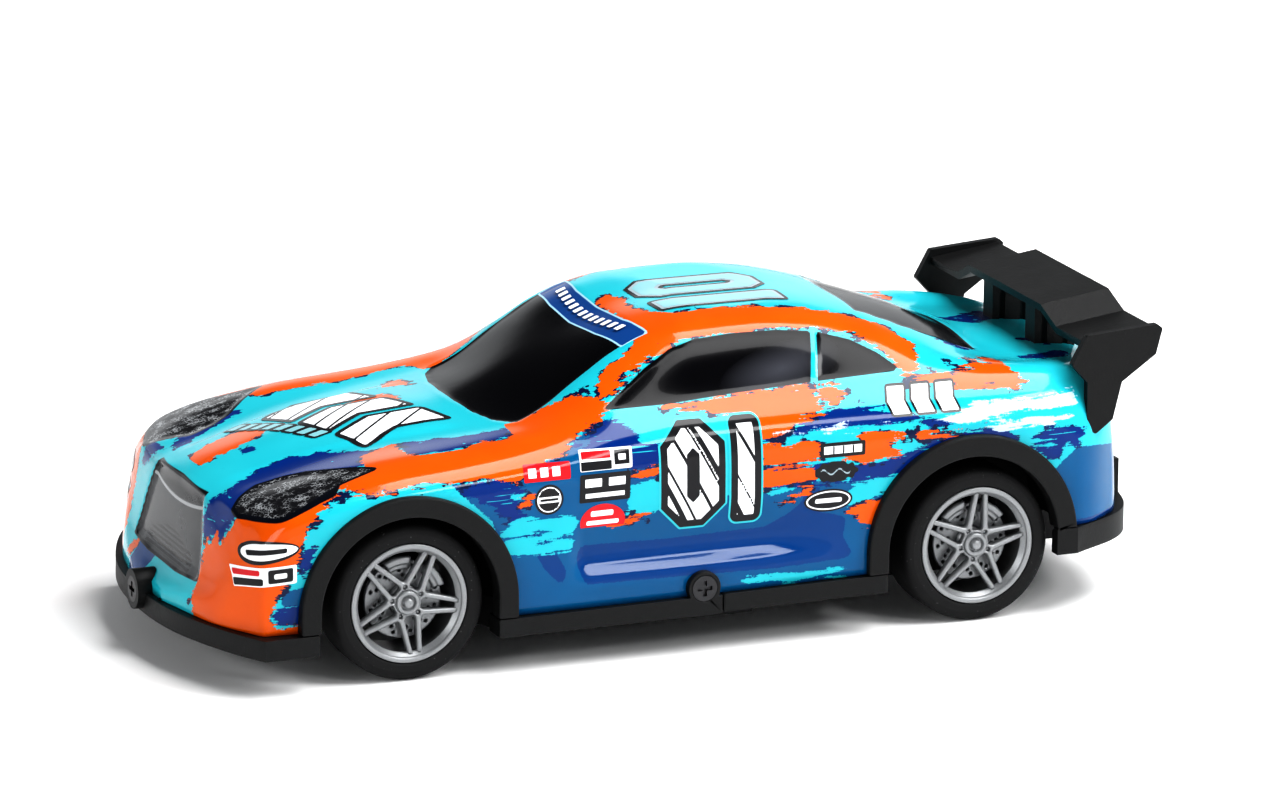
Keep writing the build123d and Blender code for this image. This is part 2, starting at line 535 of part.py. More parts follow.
with BuildPart() as disc:
    rod(DISC_R, 34.6, 35.8, 0, 0)
    with Locations(Location((35.2, 0, 0), (0, 90, 0))):
        with PolarLocations(5.6, 10):
            Cylinder(0.5, 4, mode=Mode.SUBTRACT)
    with BuildSketch(Plane.YZ.offset(35.8)):
        with BuildLine():
            CenterArc((0, 0), DISC_R, 70, 50)
            CenterArc((0, 0), 4.6, 70, 50)
            for angle in (70, 120):
                PolarLine((4.6 * cos(radians(angle)), 4.6 * sin(radians(angle))), DISC_R - 4.6, angle)
        make_face()
    extrude(amount=1.0)
    rod(HUB_R, 30, 40, 0, 0, Mode.SUBTRACT)

with BuildPart() as cap:
    rod(CAP_R, HUB_OUT - 1.0, HUB_OUT, 0, 0)
    with BuildSketch(Plane.YZ.offset(HUB_OUT)):
        RegularPolygon(1.9, 6)
    extrude(amount=0.6)


def rim(bore):
    """A five twin-spoke rim with its hub; the bore runs on or holds its axle."""
    with BuildPart() as wheel:
        with BuildSketch(Plane.XY):
            with Locations((WHEEL_X, (BARREL_R + BEAD_R) / 2)):
                Rectangle(WHEEL_W, BEAD_R - BARREL_R)
            for lip in (-1, 1):
                with Locations((WHEEL_X + lip * (HALF_W - 0.3), (BEAD_R + RIM_R) / 2)):
                    Rectangle(0.6, RIM_R - BEAD_R)
        revolve(axis=Axis.X)
        rod(HUB_R, HUB_IN, HUB_OUT, 0, 0)
        with Locations(Location((38.0, 0, 0), (0, 90, 0))):
            with PolarLocations(0, SPOKES):
                for lean in (-1, 1):
                    with Locations(Location(((2.4 + BARREL_R + 0.4) / 2, lean * 1.5, 0), (0, 0, lean * 4))):
                        Box(BARREL_R + 0.4 - 2.4, 1.1, 1.8)
            with PolarLocations(3.6, SPOKES, start_angle=36):
                Cylinder(0.9, 1.8)
        rod(bore, HUB_IN - 1, HUB_OUT - 2.2, 0, 0, Mode.SUBTRACT)
        rod(CAP_R, HUB_OUT - 2.2, HUB_OUT + 1, 0, 0, Mode.SUBTRACT)
    return wheel.part


for corner, (side, y) in WHEELS.items():
    bore = STUB_R + RUN if y == FRONT_Y else AXLE_R
    save(at_wheel(rim(bore), side, y), f"{corner}_rim")
    save(at_wheel(tyre.part, side, y), f"{corner}_tyre")
    save(at_wheel(disc.part, side, y), f"{corner}_brake_disc")
save(at_wheel(cap.part, 1, FRONT_Y), "left_front_cap")
save(at_wheel(cap.part, -1, FRONT_Y), "right_front_cap")
save(Compound([at_wheel(cap.part, side, REAR_Y) for side in (1, -1)]), "rear_hub_caps")

# ------------------------------------------------------------------ steering
LOWER_TOP = 9.9
KNUCKLE_TOP = 19.4
BRACE_Z = 22.6
BRACE_T = 1.8
END_R = 2.5
ARM_Z = 16.6
LINK_Z = 18.7
HORN_Z = 20.5
PIN_R = 0.8
SLOT_R = PIN_R + 0.15
SERVO_Y = FRONT_Y + 2 * STEER_ARM
SERVO_TOP = 20.0


def cross_bar(bar_low, bar_high):
    """The bar that spans both kingpins, with rounded ends and holes for the pins and the two screws."""
    with BuildPart() as bar:
        with BuildSketch(Plane.XY.offset(bar_low)):
            with Locations((0, FRONT_Y)):
                SlotOverall(2 * (KINGPIN_X + END_R), 2 * END_R)
                Rectangle(36, 9)
        extrude(amount=bar_high - bar_low)
        with Locations((KINGPIN_X, FRONT_Y, bar_low), (-KINGPIN_X, FRONT_Y, bar_low)):
            Cylinder(KINGPIN_R, 20, mode=Mode.SUBTRACT)
        with Locations((15, FRONT_Y, bar_low), (-15, FRONT_Y, bar_low)):
            Cylinder(KINGPIN_R, 20, mode=Mode.SUBTRACT)
    return bar.part


with BuildPart() as carrier:
    add(cross_bar(FLOOR_TOP, LOWER_TOP))
    for side in (-1, 1):
        with Locations((side * 15, FRONT_Y, LOWER_TOP)):
            Box(5, 6, BRACE_Z - LOWER_TOP, align=MIN)
            Cylinder(KINGPIN_R, 2 * (BRACE_Z - LOWER_TOP), mode=Mode.SUBTRACT)
save(carrier.part, "front_carrier")
save(cross_bar(BRACE_Z, BRACE_Z + BRACE_T), "front_brace")

with BuildPart() as kingpins:
    with Locations((KINGPIN_X, FRONT_Y, FLOOR_TOP), (-KINGPIN_X, FRONT_Y, FLOOR_TOP)):
        Cylinder(KINGPIN_R, BRACE_Z + BRACE_T - FLOOR_TOP, align=MIN)
        with Locations((0, 0, BRACE_Z + BRACE_T - FLOOR_TOP)):
            Cylinder(1.8, 0.8, align=MIN)
save(kingpins.part, "kingpins")

with BuildPart() as springs:
    with BuildSketch(Plane.XZ):
        with GridLocations(0, 0.7, 1, 4):
            with Locations((1.5, (KNUCKLE_TOP + BRACE_Z) / 2)):
                Circle(0.36)
    revolve(axis=Axis.Z)
save(Compound([Pos(side * KINGPIN_X, FRONT_Y, 0) * springs.part for side in (-1, 1)]), "kingpin_springs")

with BuildPart() as steering_screws:
    with Locations((15, FRONT_Y, BRACE_Z + BRACE_T), (-15, FRONT_Y, BRACE_Z + BRACE_T)):
        Cylinder(1.8, HEAD_H, align=MIN)
        Cylinder(KINGPIN_R, 10, align=(Align.CENTER, Align.CENTER, Align.MAX))
save(steering_screws.part, "steering_screws")

with BuildPart() as knuckle:
    with Locations((KINGPIN_X, FRONT_Y, LOWER_TOP + 0.2)):
        Cylinder(2.2, KNUCKLE_TOP - LOWER_TOP - 0.2, align=MIN)
    with Locations((KINGPIN_X, FRONT_Y + STEER_ARM / 2, ARM_Z)):
        Box(2.8, STEER_ARM, 1.8, align=MIN)
    with Locations((KINGPIN_X, FRONT_Y + STEER_ARM, ARM_Z)):
        Cylinder(1.4, 1.8, align=MIN)
        Cylinder(PIN_R, 3.8, align=MIN)
    rod(2.0, KINGPIN_X, KINGPIN_X + 3.6, FRONT_Y, AXLE_Z)
    with Locations((KINGPIN_X, FRONT_Y, AXLE_Z)):
        Cylinder(KINGPIN_R + RUN, 20, mode=Mode.SUBTRACT)
    rod(STUB_R, KINGPIN_X + 1.3, KINGPIN_X + 5, FRONT_Y, AXLE_Z, Mode.SUBTRACT)

with BuildPart() as stub:
    rod(STUB_R, KINGPIN_X + 1.3, 37.3, FRONT_Y, AXLE_Z)
    rod(1.9, 37.0, 37.8, FRONT_Y, AXLE_Z)

save(knuckle.part, "left_knuckle")
save(mirror(knuckle.part, about=Plane.YZ), "right_knuckle")
save(stub.part, "left_stub_axle")
save(mirror(stub.part, about=Plane.YZ), "right_stub_axle")

with BuildPart() as link:
    with BuildSketch(Plane.XY.offset(LINK_Z)):
        with Locations((0, FRONT_Y + STEER_ARM - 0.3)):
            Rectangle(2 * KINGPIN_X + 3.4, 3.2)
            with GridLocations(KINGPIN_X, 0, 3, 1):
                Rectangle(3.4, 5.6)
        slot_length = 2 * SLOT_R + 1.2
        for x, y in ((-KINGPIN_X, -0.4), (0, 0.4), (KINGPIN_X, -0.4)):
            with Locations(Location((x, FRONT_Y + STEER_ARM + y, 0), (0, 0, 90))):
                SlotOverall(slot_length, 2 * SLOT_R, mode=Mode.SUBTRACT)
    extrude(amount=1.5)
save(link.part, "steering_link")

with BuildPart() as servo:
    with Locations((0, -30.5, FLOOR_TOP)):
        Box(20, 25, SERVO_TOP - FLOOR_TOP, align=MIN)
    with Locations((0, SERVO_Y, SERVO_TOP)):
        Cylinder(2.6, 0.3, align=MIN)
        Cylinder(1.0, 2.3, align=MIN)
save(servo.part, "steering_servo")

with BuildPart() as horn:
    with Locations((0, SERVO_Y, HORN_Z)):
        Cylinder(2.4, 1.5, align=MIN)
    with Locations((0, SERVO_Y - STEER_ARM / 2, HORN_Z)):
        Box(2.8, STEER_ARM, 1.3, align=MIN)
    with Locations((0, SERVO_Y - STEER_ARM, HORN_Z)):
        Cylinder(1.4, 1.3, align=MIN)
        Cylinder(PIN_R, 1.7, align=(Align.CENTER, Align.CENTER, Align.MAX))
    with Locations((0, SERVO_Y, HORN_Z)):
        Cylinder(1.0 + RUN, 10, mode=Mode.SUBTRACT)
save(horn.part, "servo_horn")
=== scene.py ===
"""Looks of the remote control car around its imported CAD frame. Lengths are written in millimetres."""
import json
import math

import bmesh
import bpy
import numpy as np
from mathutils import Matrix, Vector


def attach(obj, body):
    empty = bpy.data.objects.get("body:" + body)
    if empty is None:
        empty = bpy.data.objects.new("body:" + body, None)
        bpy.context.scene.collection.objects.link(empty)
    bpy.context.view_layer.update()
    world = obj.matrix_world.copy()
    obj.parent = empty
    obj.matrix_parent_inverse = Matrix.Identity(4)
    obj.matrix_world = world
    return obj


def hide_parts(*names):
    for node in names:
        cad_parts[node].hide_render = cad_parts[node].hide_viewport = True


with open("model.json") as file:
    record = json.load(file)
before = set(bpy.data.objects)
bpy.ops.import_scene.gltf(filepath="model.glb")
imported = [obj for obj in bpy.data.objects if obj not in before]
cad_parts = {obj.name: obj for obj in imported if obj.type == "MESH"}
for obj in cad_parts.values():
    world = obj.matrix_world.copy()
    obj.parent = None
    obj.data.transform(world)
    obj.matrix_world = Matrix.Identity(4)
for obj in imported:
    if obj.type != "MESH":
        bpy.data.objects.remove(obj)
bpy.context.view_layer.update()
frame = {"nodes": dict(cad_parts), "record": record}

MM = 0.001
AXLE_Z = 15.1
FRONT_Y = -58.0
REAR_Y = 58.0
FAR = -9.0  # a printed shape's field well outside it

# ------------------------------------------------------------------ body lines
# The same net of lines as the CAD shell: (y, x, z) from nose to tail, one half of the body.
SILL = [(-96.6, 9, 11.4), (-92.7, 26.6, 11.4), (-89.4, 33.8, 11.4), (-86, 38.9, 11.4),
        (-36, 40.2, 10.9), (36, 40.2, 11.9), (58, 40.4, 14), (78, 40.2, 17.4), (88.7, 34, 17.4),
        (93.8, 23, 17.4), (95.4, 8, 17.4)]
WAIST = [(-96.6, 9, 12), (-92.7, 26.2, 13.6), (-89.4, 33.6, 16.5), (-86, 38.5, 20),
         (-76, 40.4, 25), (-58, 40.6, 26), (0, 39.6, 26.5), (36, 40, 28), (78, 40.2, 29),
         (88.7, 33.4, 28.5), (93.8, 21.6, 24.5), (95.4, 7.8, 18.6)]
SHOULDER = [(-96.6, 8.6, 12.9), (-92.7, 24.4, 16), (-89.4, 31.9, 22.5), (-86, 36.8, 29.4),
            (-80, 39, 33.6), (-70, 39.6, 35.8), (-58, 39.8, 37), (-36, 39.2, 38.6),
            (0, 38.4, 41.6), (30, 38.5, 42), (58, 39.2, 42), (74, 38.8, 41), (82, 37, 39.8),
            (88, 33, 37.6), (93.8, 20, 29), (95.4, 7.2, 19)]
BELT = [(-96.6, 7.2, 13.3), (-92.5, 20.5, 17.4), (-89.6, 26.2, 26.5), (-87.8, 28.4, 31.6),
        (-80, 31, 35.6), (-70, 32.2, 38.4), (-58, 32.8, 40.4), (-46, 33, 41.3),
        (-36, 33.1, 42.2), (-26, 33.3, 43.6), (-14, 33.4, 46.4), (0, 33.3, 47.9), (44, 33, 48.6),
        (70, 33, 47.6), (80, 32, 46.4), (86, 30.2, 45), (90.5, 26.8, 42.6), (94.2, 15.5, 31),
        (95.4, 6, 19.4)]
RAIL = [(-96.6, 4.5, 13.5), (-93.1, 11.8, 17.2), (-91.9, 12.6, 22), (-89.4, 13.7, 32.3),
        (-79.3, 16, 35.6), (-64, 18, 39.3), (-34, 21.2, 43), (-30, 21.8, 43.8),
        (-16, 22.8, 52), (-9.5, 23.2, 55.6), (-3, 23.6, 57.8), (4, 24, 58.9), (18, 24.2, 59.2),
        (30, 24, 58.2), (42, 23.5, 55.6), (52, 22.9, 52.4), (70, 21.6, 47.2), (88, 19.6, 45.5),
        (92.2, 17, 43.6), (94.8, 9, 28.5), (95.4, 4.5, 19.8)]
CENTRE = [(-96.6, 0, 13.6), (-93.4, 0, 16.7), (-92.5, 0, 20), (-89.8, 0, 32.6), (-80, 0, 36.8),
          (-64, 0, 40.5), (-36, 0, 44), (-33, 0, 44.8), (-16, 0, 53.8), (-9, 0, 57),
          (-2, 0, 59.4), (6, 0, 60.7), (16, 0, 61.2), (26, 0, 60.9), (36, 0, 59.7),
          (46, 0, 57.4), (56, 0, 54.2), (71, 0, 48), (88, 0, 46.1), (92.6, 0, 44.8),
          (94, 0, 39.5), (95.4, 0, 20)]
LINES = [SILL, WAIST, SHOULDER, BELT, RAIL, CENTRE]
NOSE_Y, TAIL_Y = SILL[0][0], SILL[-1][0]
ROOF_Z = 60.98  # the film stays below this
ARCHES = [(-58.4, 14.6, 17.6, 21.6), (56.4, 15.7, 17.6, 21.8)]  # y, z, inner and outer radius
FILM = 0.9  # thickness of the printed film


def hermite(t, start, end, start_slope, end_slope):
    """Cubic from start to end as t goes from 0 to 1."""
    return ((2 * t**3 - 3 * t**2 + 1) * start + (t**3 - 2 * t**2 + t) * start_slope
            + (-2 * t**3 + 3 * t**2) * end + (t**3 - t**2) * end_slope)


def monotone(knots, values, q):
    """Monotone cubic through the knots, so a line never overshoots its points."""
    gap = np.diff(knots)
    slope = np.diff(values) / gap
    product, total = slope[:-1] * slope[1:], slope[:-1] + slope[1:]
    mean = np.where(product > 0, 2 * product / np.where(product > 0, total, 1), 0)
    tangent = np.concatenate([slope[:1], mean, slope[-1:]])
    i = np.clip(np.searchsorted(knots, q, side="right") - 1, 0, len(gap) - 1)
    t = (q - knots[i]) / gap[i]
    return hermite(t, values[i], values[i + 1], gap[i] * tangent[i], gap[i] * tangent[i + 1])


def half_section(ys, ts):
    """Points (x, z) of the left half at every y and every t, from 0 at the sill to 5 at the centre line."""
    net = np.zeros((len(ys), len(LINES), 2))
    for k, line in enumerate(LINES):
        line = np.array(line)
        net[:, k, 0] = monotone(line[:, 0], line[:, 1], ys)
        net[:, k, 1] = monotone(line[:, 0], line[:, 2], ys)
    before = 2 * net[:, :1] - net[:, 1:2]
    after = net[:, -2:-1] * [-1, 1]
    net = np.concatenate([before, net, after], axis=1)
    chord = np.sqrt(np.maximum(np.linalg.norm(np.diff(net, axis=1), axis=2), 0.001))[:, :, None]
    slope = np.diff(net, axis=1) / chord
    tangent = (slope[:, :-1] * chord[:, 1:] + slope[:, 1:] * chord[:, :-1]) / (chord[:, :-1] + chord[:, 1:])
    i = np.clip(ts.astype(int), 0, len(LINES) - 2)
    t = (ts - i)[None, :, None]
    p0, p1 = net[:, i + 1], net[:, i + 2]
    m0, m1 = tangent[:, i] * chord[:, i + 1], tangent[:, i + 1] * chord[:, i + 1]
    return hermite(t, p0, p1, m0, m1)


# --------------------------------------------------- signed distances, in mm
def polygon_field(points, a, b):
    """Positive inside the polygon, negative outside: the distance to its edge."""
    inside = np.zeros(a.shape, bool)
    nearest = np.full(a.shape, 1e9)
    corners = list(zip(points, points[1:] + points[:1]))
    for (a0, b0), (a1, b1) in corners:
        da, db = a1 - a0, b1 - b0
        t = np.clip(((a - a0) * da + (b - b0) * db) / (da * da + db * db + 1e-9), 0, 1)
        nearest = np.minimum(nearest, np.hypot(a - a0 - t * da, b - b0 - t * db))
        crosses = (b0 > b) != (b1 > b)
        at = a0 + (b - b0) / (db if db else 1e-9) * da
        inside ^= crosses & (a < at)
    return np.where(inside, nearest, -nearest)


def union(fields, shape):
    """One field for several shapes: the largest of theirs."""
    return np.maximum.reduce([np.full(shape, FAR), *fields])


def union_field(polygons, a, b):
    return union([polygon_field(points, a, b) for points in polygons], a.shape)


def step(low, high, v):
    """Smooth step from 0 at low to 1 at high."""
    t = np.clip((v - low) / (high - low), 0, 1)
    return t * t * (3 - 2 * t)


# ------------------------------------------------ shapes printed on the film
# Side shapes are (y, z) on both flanks; top shapes are (y, x) on the bonnet, roof and boot.
SIDE_WINDOW = [(-16.5, 47.0), (-12, 49.8), (-6.5, 53.4), (-1, 56.2), (4, 57.5), (12, 58.0), (21, 57.9),
               (29, 57.0), (36, 55.0), (41, 52.4), (44.2, 49.9), (43.2, 49.3), (28, 48.9), (10, 48.2),
               (-4, 47.4)]
PILLAR = [(28.6, 58.5), (29.8, 58.4), (27.0, 48.4), (25.6, 48.4)]
WINDSCREEN = [(-36.2, -4), (-36.2, 4), (-35.4, 12), (-33.6, 18.5), (-30.6, 22.6), (-22, 22.4), (-9, 21.8),
              (-3.6, 21.6), (-5.0, 12), (-5.4, 0), (-5.0, -12), (-3.6, -21.6), (-9, -21.8), (-22, -22.4),
              (-30.6, -22.6), (-33.6, -18.5), (-35.4, -12)]
BANNER = [(-8.6, 23), (-10.2, 12), (-10.8, 0), (-10.2, -12), (-8.6, -23), (0, -23), (0, 23)]
REAR_GLASS = [(42, -15.5), (41, 0), (42, 15.5), (54, 17.5), (66.5, 18.5), (67.5, 0), (66.5, -18.5),
              (54, -17.5)]
LAMP = [(-85.3, 22.6), (-87.4, 25.0), (-87.6, 30.0), (-86.4, 40.0), (-74.0, 40.0), (-70.5, 34.2),
        (-62.6, 32.4), (-68.3, 27.3), (-72.7, 22.6), (-76.6, 20.4), (-81.1, 19.6)]
# Where the lamps end below: (y, z).
LAMP_FOOT = [(-88.0, 32.2), (-83.0, 33.3), (-79.6, 34.8), (-75.0, 36.6), (-70.5, 38.0), (-62.0, 39.9)]
GRILLE = [(-13.2, 32.4), (0.0, 32.7), (13.2, 32.4), (15.8, 26.0), (18.2, 17.6), (8, 17.0), (-8, 17.0),
          (-18.2, 17.6), (-15.8, 26.0)]

SIDE_PAINT = {
    "blue": [
        [(-50, 37.5), (-36, 37.5), (-35, 39.5), (-28, 40.2), (-20, 44.5), (-14.8, 46), (-8, 42), (-6, 30),
         (13.5, 30), (15, 29), (24, 31), (33, 31.5), (38, 30), (38, 9), (-39, 9), (-39, 22), (-42, 30),
         (-47, 34.5)],
        [(73, 28.5), (78.6, 33), (83, 32.4), (89, 31), (99, 27), (99, 12), (73, 12)],
        [(-83.2, 19.7), (-78, 20.8), (-78, 16.4), (-83.2, 17.2)],
    ],
    # Deep blue, without a fringe; the first shape fills the door's moulded hollow with painted shade.
    "deep_blue_and_shade": [
        [(-23.7, 22.8), (-6, 22.4), (14, 22.8), (18.6, 25.2), (21.3, 27.4), (21.9, 30.2), (25, 30),
         (24.5, 25.2), (30.2, 23.6), (29.7, 19.7), (32, 15.6), (15, 15.0), (-23.0, 15.6), (-24.6, 19.5)],
        [(-40, 31), (-34, 24), (-31, 19), (-28, 16), (-26.5, 18), (-30, 24), (-36, 31)],
        [(78, 18.5), (96, 18.5), (96, 12), (78, 12)],
    ],
    "royal": [
        [(-20.3, 44.4), (-14.8, 45.8), (-12, 43.4), (-7.0, 41.3), (-7.0, 37.4), (-10.3, 36.5), (-13.7, 37.4),
         (-15, 40), (-22.5, 41)],
        [(-49, 37), (-44.8, 37.6), (-39.2, 38), (-34.8, 35.2), (-36.4, 32.4), (-35.3, 30.2), (-32, 26.9),
         (-33.7, 25.4), (-37, 27.8), (-42, 32.4), (-47, 35.2)],
        [(-36, 44), (-30, 43.4), (-25.5, 41.5), (-22, 42), (-24, 44), (-30, 45.5)],
        [(12.6, 41.8), (20, 41.9), (24, 43.8), (33, 44.6), (41, 42.8), (46, 41.2), (36, 40.3), (26, 40.6),
         (12.6, 39.6)],
        [(12, 35.4), (20, 35), (28, 34.6), (34, 33.6), (42, 34.8), (47.4, 36.6), (54, 38.2), (62, 38.4),
         (67, 35), (60, 30), (44, 30), (34, 30.4), (26, 30.6), (12, 30.4)],
        [(67.6, 35.5), (73, 37.4), (80.5, 36.6), (79, 32.6), (76.4, 34.0), (74.1, 31.4), (69.7, 32.4)],
        [(-83.7, 16.8), (-78, 17.4), (-78, 13.4), (-83.2, 12.8), (-85.4, 14.6)],
        [(-80.6, 27), (-77.0, 28.2), (-77.5, 22.5), (-80.6, 24)],
        [(46, 41.4), (54, 39.9), (47, 39.2)],
    ],
    "cyan": [
        [(-39.8, 27.2), (-37.6, 29.8), (-32, 29.4), (-25.9, 29.6), (-24.2, 28), (-24.8, 26.3), (-29.2, 25.8),
         (-32, 26.6), (-38.1, 26.3)],
        [(-40.5, 25.6), (-39.2, 22.6), (-25.3, 22.4), (-24.8, 24.4), (-29.2, 24.9), (-33.7, 24.9),
         (-34.8, 25.8)],
        [(-13.9, 34.2), (-6, 35.2), (-6, 29.1), (-11.4, 28), (-15.4, 26.8), (-14.4, 30.2)],
        [(-15, 45.6), (-8.1, 46.4), (-5.4, 43.6), (-7.1, 41.2), (-10.8, 41.4), (-12, 43.6)],
        [(-19, 46.6), (-4.2, 47.4), (-4, 45.3), (-13, 44.8)],
        [(17, 40.3), (44, 39.6), (46, 36.8), (42, 35.0), (36, 36.4), (24, 38.3), (17, 38.6)],
        [(30.8, 29.9), (41.5, 30.9), (39.5, 26.9), (30.2, 25.6)],
        [(24, 33.2), (32, 33.0), (31, 30.8), (24, 31.2)],
        [(-38, 34.8), (-33.6, 34.4), (-34.5, 33), (-37.4, 33.4)],
        [(9, 13.8), (20, 14), (30, 13.2), (30, 12), (9, 12)],
        [(66, 36.2), (74, 34.2), (72.4, 33.4), (66, 34.6)],
        [(81, 35.8), (90, 35.4), (94, 30), (95.5, 24.6), (93.6, 25.2), (91, 31), (86, 33.6)],
    ],
    "orange": [
        [(-99, 9), (-77.5, 9), (-77.5, 13.2), (-83.7, 12.6), (-85.6, 14.8), (-84.2, 17.4), (-83.4, 20),
         (-81.5, 22), (-80.6, 23.5), (-80.2, 26.8), (-79.2, 29.4), (-77.9, 32.6), (-73.9, 35.9),
         (-70.3, 37.2), (-65.9, 37.5), (-60.4, 37.4), (-54.8, 37.9), (-49, 37.7), (-42, 37.7), (-39.0, 36.9),
         (-36.4, 36.0), (-35.0, 38.4), (-29, 40.3), (-25.9, 41.0), (-24.2, 42.6), (-20.3, 44.7),
         (-15.9, 46.3), (-14.2, 48.2), (-19, 49), (-27, 47), (-50, 45), (-80, 42), (-99, 40)],
        [(-14.8, 36.3), (-7.5, 36.9), (-7.5, 35.1), (-12, 34.9)],
        [(-15.4, 27.6), (-10.2, 27.9), (-14.2, 26.1), (-18, 25.9)],
        [(-36.8, 33), (-33.4, 34.2), (-34.0, 32), (-36.2, 31.8)],
        [(-5, 46.6), (5.2, 48.0), (24.7, 48.6), (26.7, 43.3), (21.6, 43.2), (19.1, 41.3), (12.6, 40.1),
         (12.6, 43), (6, 45.5)],
        [(25.0, 47.6), (28.6, 45.0), (32.2, 46.3), (30, 48.2)],
        [(12.6, 39.3), (25.2, 38.8), (24.9, 35.2), (12.6, 35.0)],
        [(30.4, 36.0), (34.1, 39.7), (42.6, 39.2), (42.8, 38.4), (38.8, 37.2), (42.0, 34.7), (34.7, 33.9),
         (29.0, 34.4)],
        [(44.8, 39.2), (54.2, 38.7), (50.8, 37.5), (45, 38)],
        [(12.6, 34.0), (23.6, 34.6), (24.4, 31.9), (12.6, 30.6)],
        [(30.0, 25.3), (38.9, 26.8), (41, 22), (36.0, 20.8), (31.9, 23.4)],
        [(16.8, 27.6), (23.2, 30.1), (23.4, 29.0), (17.2, 27.2)],
        [(44.4, 47.4), (50.8, 48.6), (66.3, 48.6), (69.6, 45.9), (66.3, 44.8), (63, 45.3), (55.8, 45.9),
         (52, 46.9)],
        [(-16, 48.4), (-8, 53.4), (0, 57.2), (6, 58.6), (20, 58.6), (30, 57.8), (37, 55.9), (41.5, 53.3),
         (44.6, 49.9), (44.6, 48.3), (48, 48.8), (50.5, 53), (42, 58.2), (36, 62), (-4, 62), (-14, 55)],
    ],
    # Pale streaks: painted highlights, the softboxes' reflections on the rear shoulder and along the belt.
    "pale": [
        [(49, 41.2), (58, 43.4), (79, 43.0), (79, 41.0), (66, 40.8), (54, 39.8)],
        [(58, 39.0), (68, 39.6), (78, 38.9), (72, 37.9), (62, 37.9)],
        [(16, 41.2), (30, 41.4), (40, 40.6), (28, 40.4)],
    ],
}
TOP_PAINT = {
    "blue": [
        [(60, 36), (62, 30), (78, 33), (92, 30), (92, 40), (60, 40)],
    ],
    "royal": [
        [(-89.8, 28), (-88.4, 18.5), (-84, 15.4), (-79, 13.4), (-74, 12.8), (-67, 15.0), (-60.6, 19.2),
         (-58, 22.5), (-63, 30), (-75, 30), (-84, 30)],
        [(-54.6, 30.5), (-54, 20.3), (-48, 22.0), (-40.5, 23.6), (-33.2, 25.0), (-33, 30.5), (-40, 29.8),
         (-47, 31.6)],
        [(58, 21), (58.5, 17.5), (66, 17.5), (67, 22), (62, 23)],
        # The three strokes on the boot below are dark stripes painted for the wing's shadow and its
        # reflection.
        [(80, 9), (86, 7), (90, 10), (84, 13)],
        [(70, -8), (82, -16), (86, -12), (76, -4)],
        [(72, 22), (84, 17), (88, 18), (78, 25)],
        [(-79, 4.5), (-76.5, 5.6), (-76, 3), (-78.6, 2.6)],
        [(-86, -14), (-78, -19), (-70, -21), (-72, -24), (-84, -20)],
    ],
    "cyan": [
        [(-24, 31.2), (-12, 30), (-4, 25), (-2, 27.5), (-10, 31.6), (-22, 33)],
    ],
    "orange": [
        [(-64.5, 33), (-61.8, 23.5), (-54.2, 19.6), (-54.2, 29.5), (-52, 30.8), (-45, 31.4), (-40, 29.6),
         (-36, 31), (-33, 28.0), (-27, 25.8), (-24, 30), (-17, 32), (-17, 42), (-95, 42), (-90, 30),
         (-86, 34), (-78, 31)],
        [(-4.8, 24), (-5, 10), (-4.4, -2), (-1.6, -4), (0, 0), (-1, 8), (0.5, 13), (3, 17), (12, 17.5),
         (20, 18.5), (30, 19.5), (38, 19.8), (46, 21), (48, 27), (20, 28), (0, 28)],
        [(-92, 2), (-80, 1.5), (-74, -0.5), (-69, -4), (-74, -8.4), (-82, -8), (-86, -5), (-92, -5)],
        [(-58, 1.0), (-53, 1.0), (-44, -3), (-46, -9), (-56, -7)],
        [(-44, -14), (-38.6, -13), (-38.8, -19), (-43, -18)],
        [(-4.4, -26), (-4.4, -20), (10, -20.5), (30, -21), (48, -22), (46, -30), (0, -30)],
        [(-69, -31), (-64, -26.6), (-50, -25.5), (-38, -27), (-30, -25.6), (-22, -31), (-22, -42), (-95, -42),
         (-84, -31)],
    ],
}
# Nose shapes are (x, z) and hold in front of the lamps.
NOSE_PAINT = {
    "deep_blue_and_shade": [
        [(-13.6, 18), (-11, 21), (-4, 17.5), (-3, 10), (-12, 10)],
    ],
    "royal": [
        [(15.5, 30), (17.5, 36), (28, 36), (27, 30.5), (25.2, 27.4), (23.4, 25.2), (22, 27.4), (19.8, 24.6),
         (17.2, 25.6)],
        [(-17.6, 33), (-19, 37), (-25, 37), (-24, 28)],
    ],
    "orange": [
        [(21.0, 9), (20.4, 12), (18.6, 16.6), (18.2, 24.2), (19.0, 26), (20.4, 24.6), (22.2, 27.6),
         (24.0, 25.2), (25.6, 28), (29, 30), (45, 30), (45, 9)],
        [(-17.6, 14), (-15.2, 18), (-13.6, 18.4), (-14.2, 14)],
        [(-45, 9), (-24, 9), (-26, 24), (-30, 30), (-45, 30)],
    ],
}


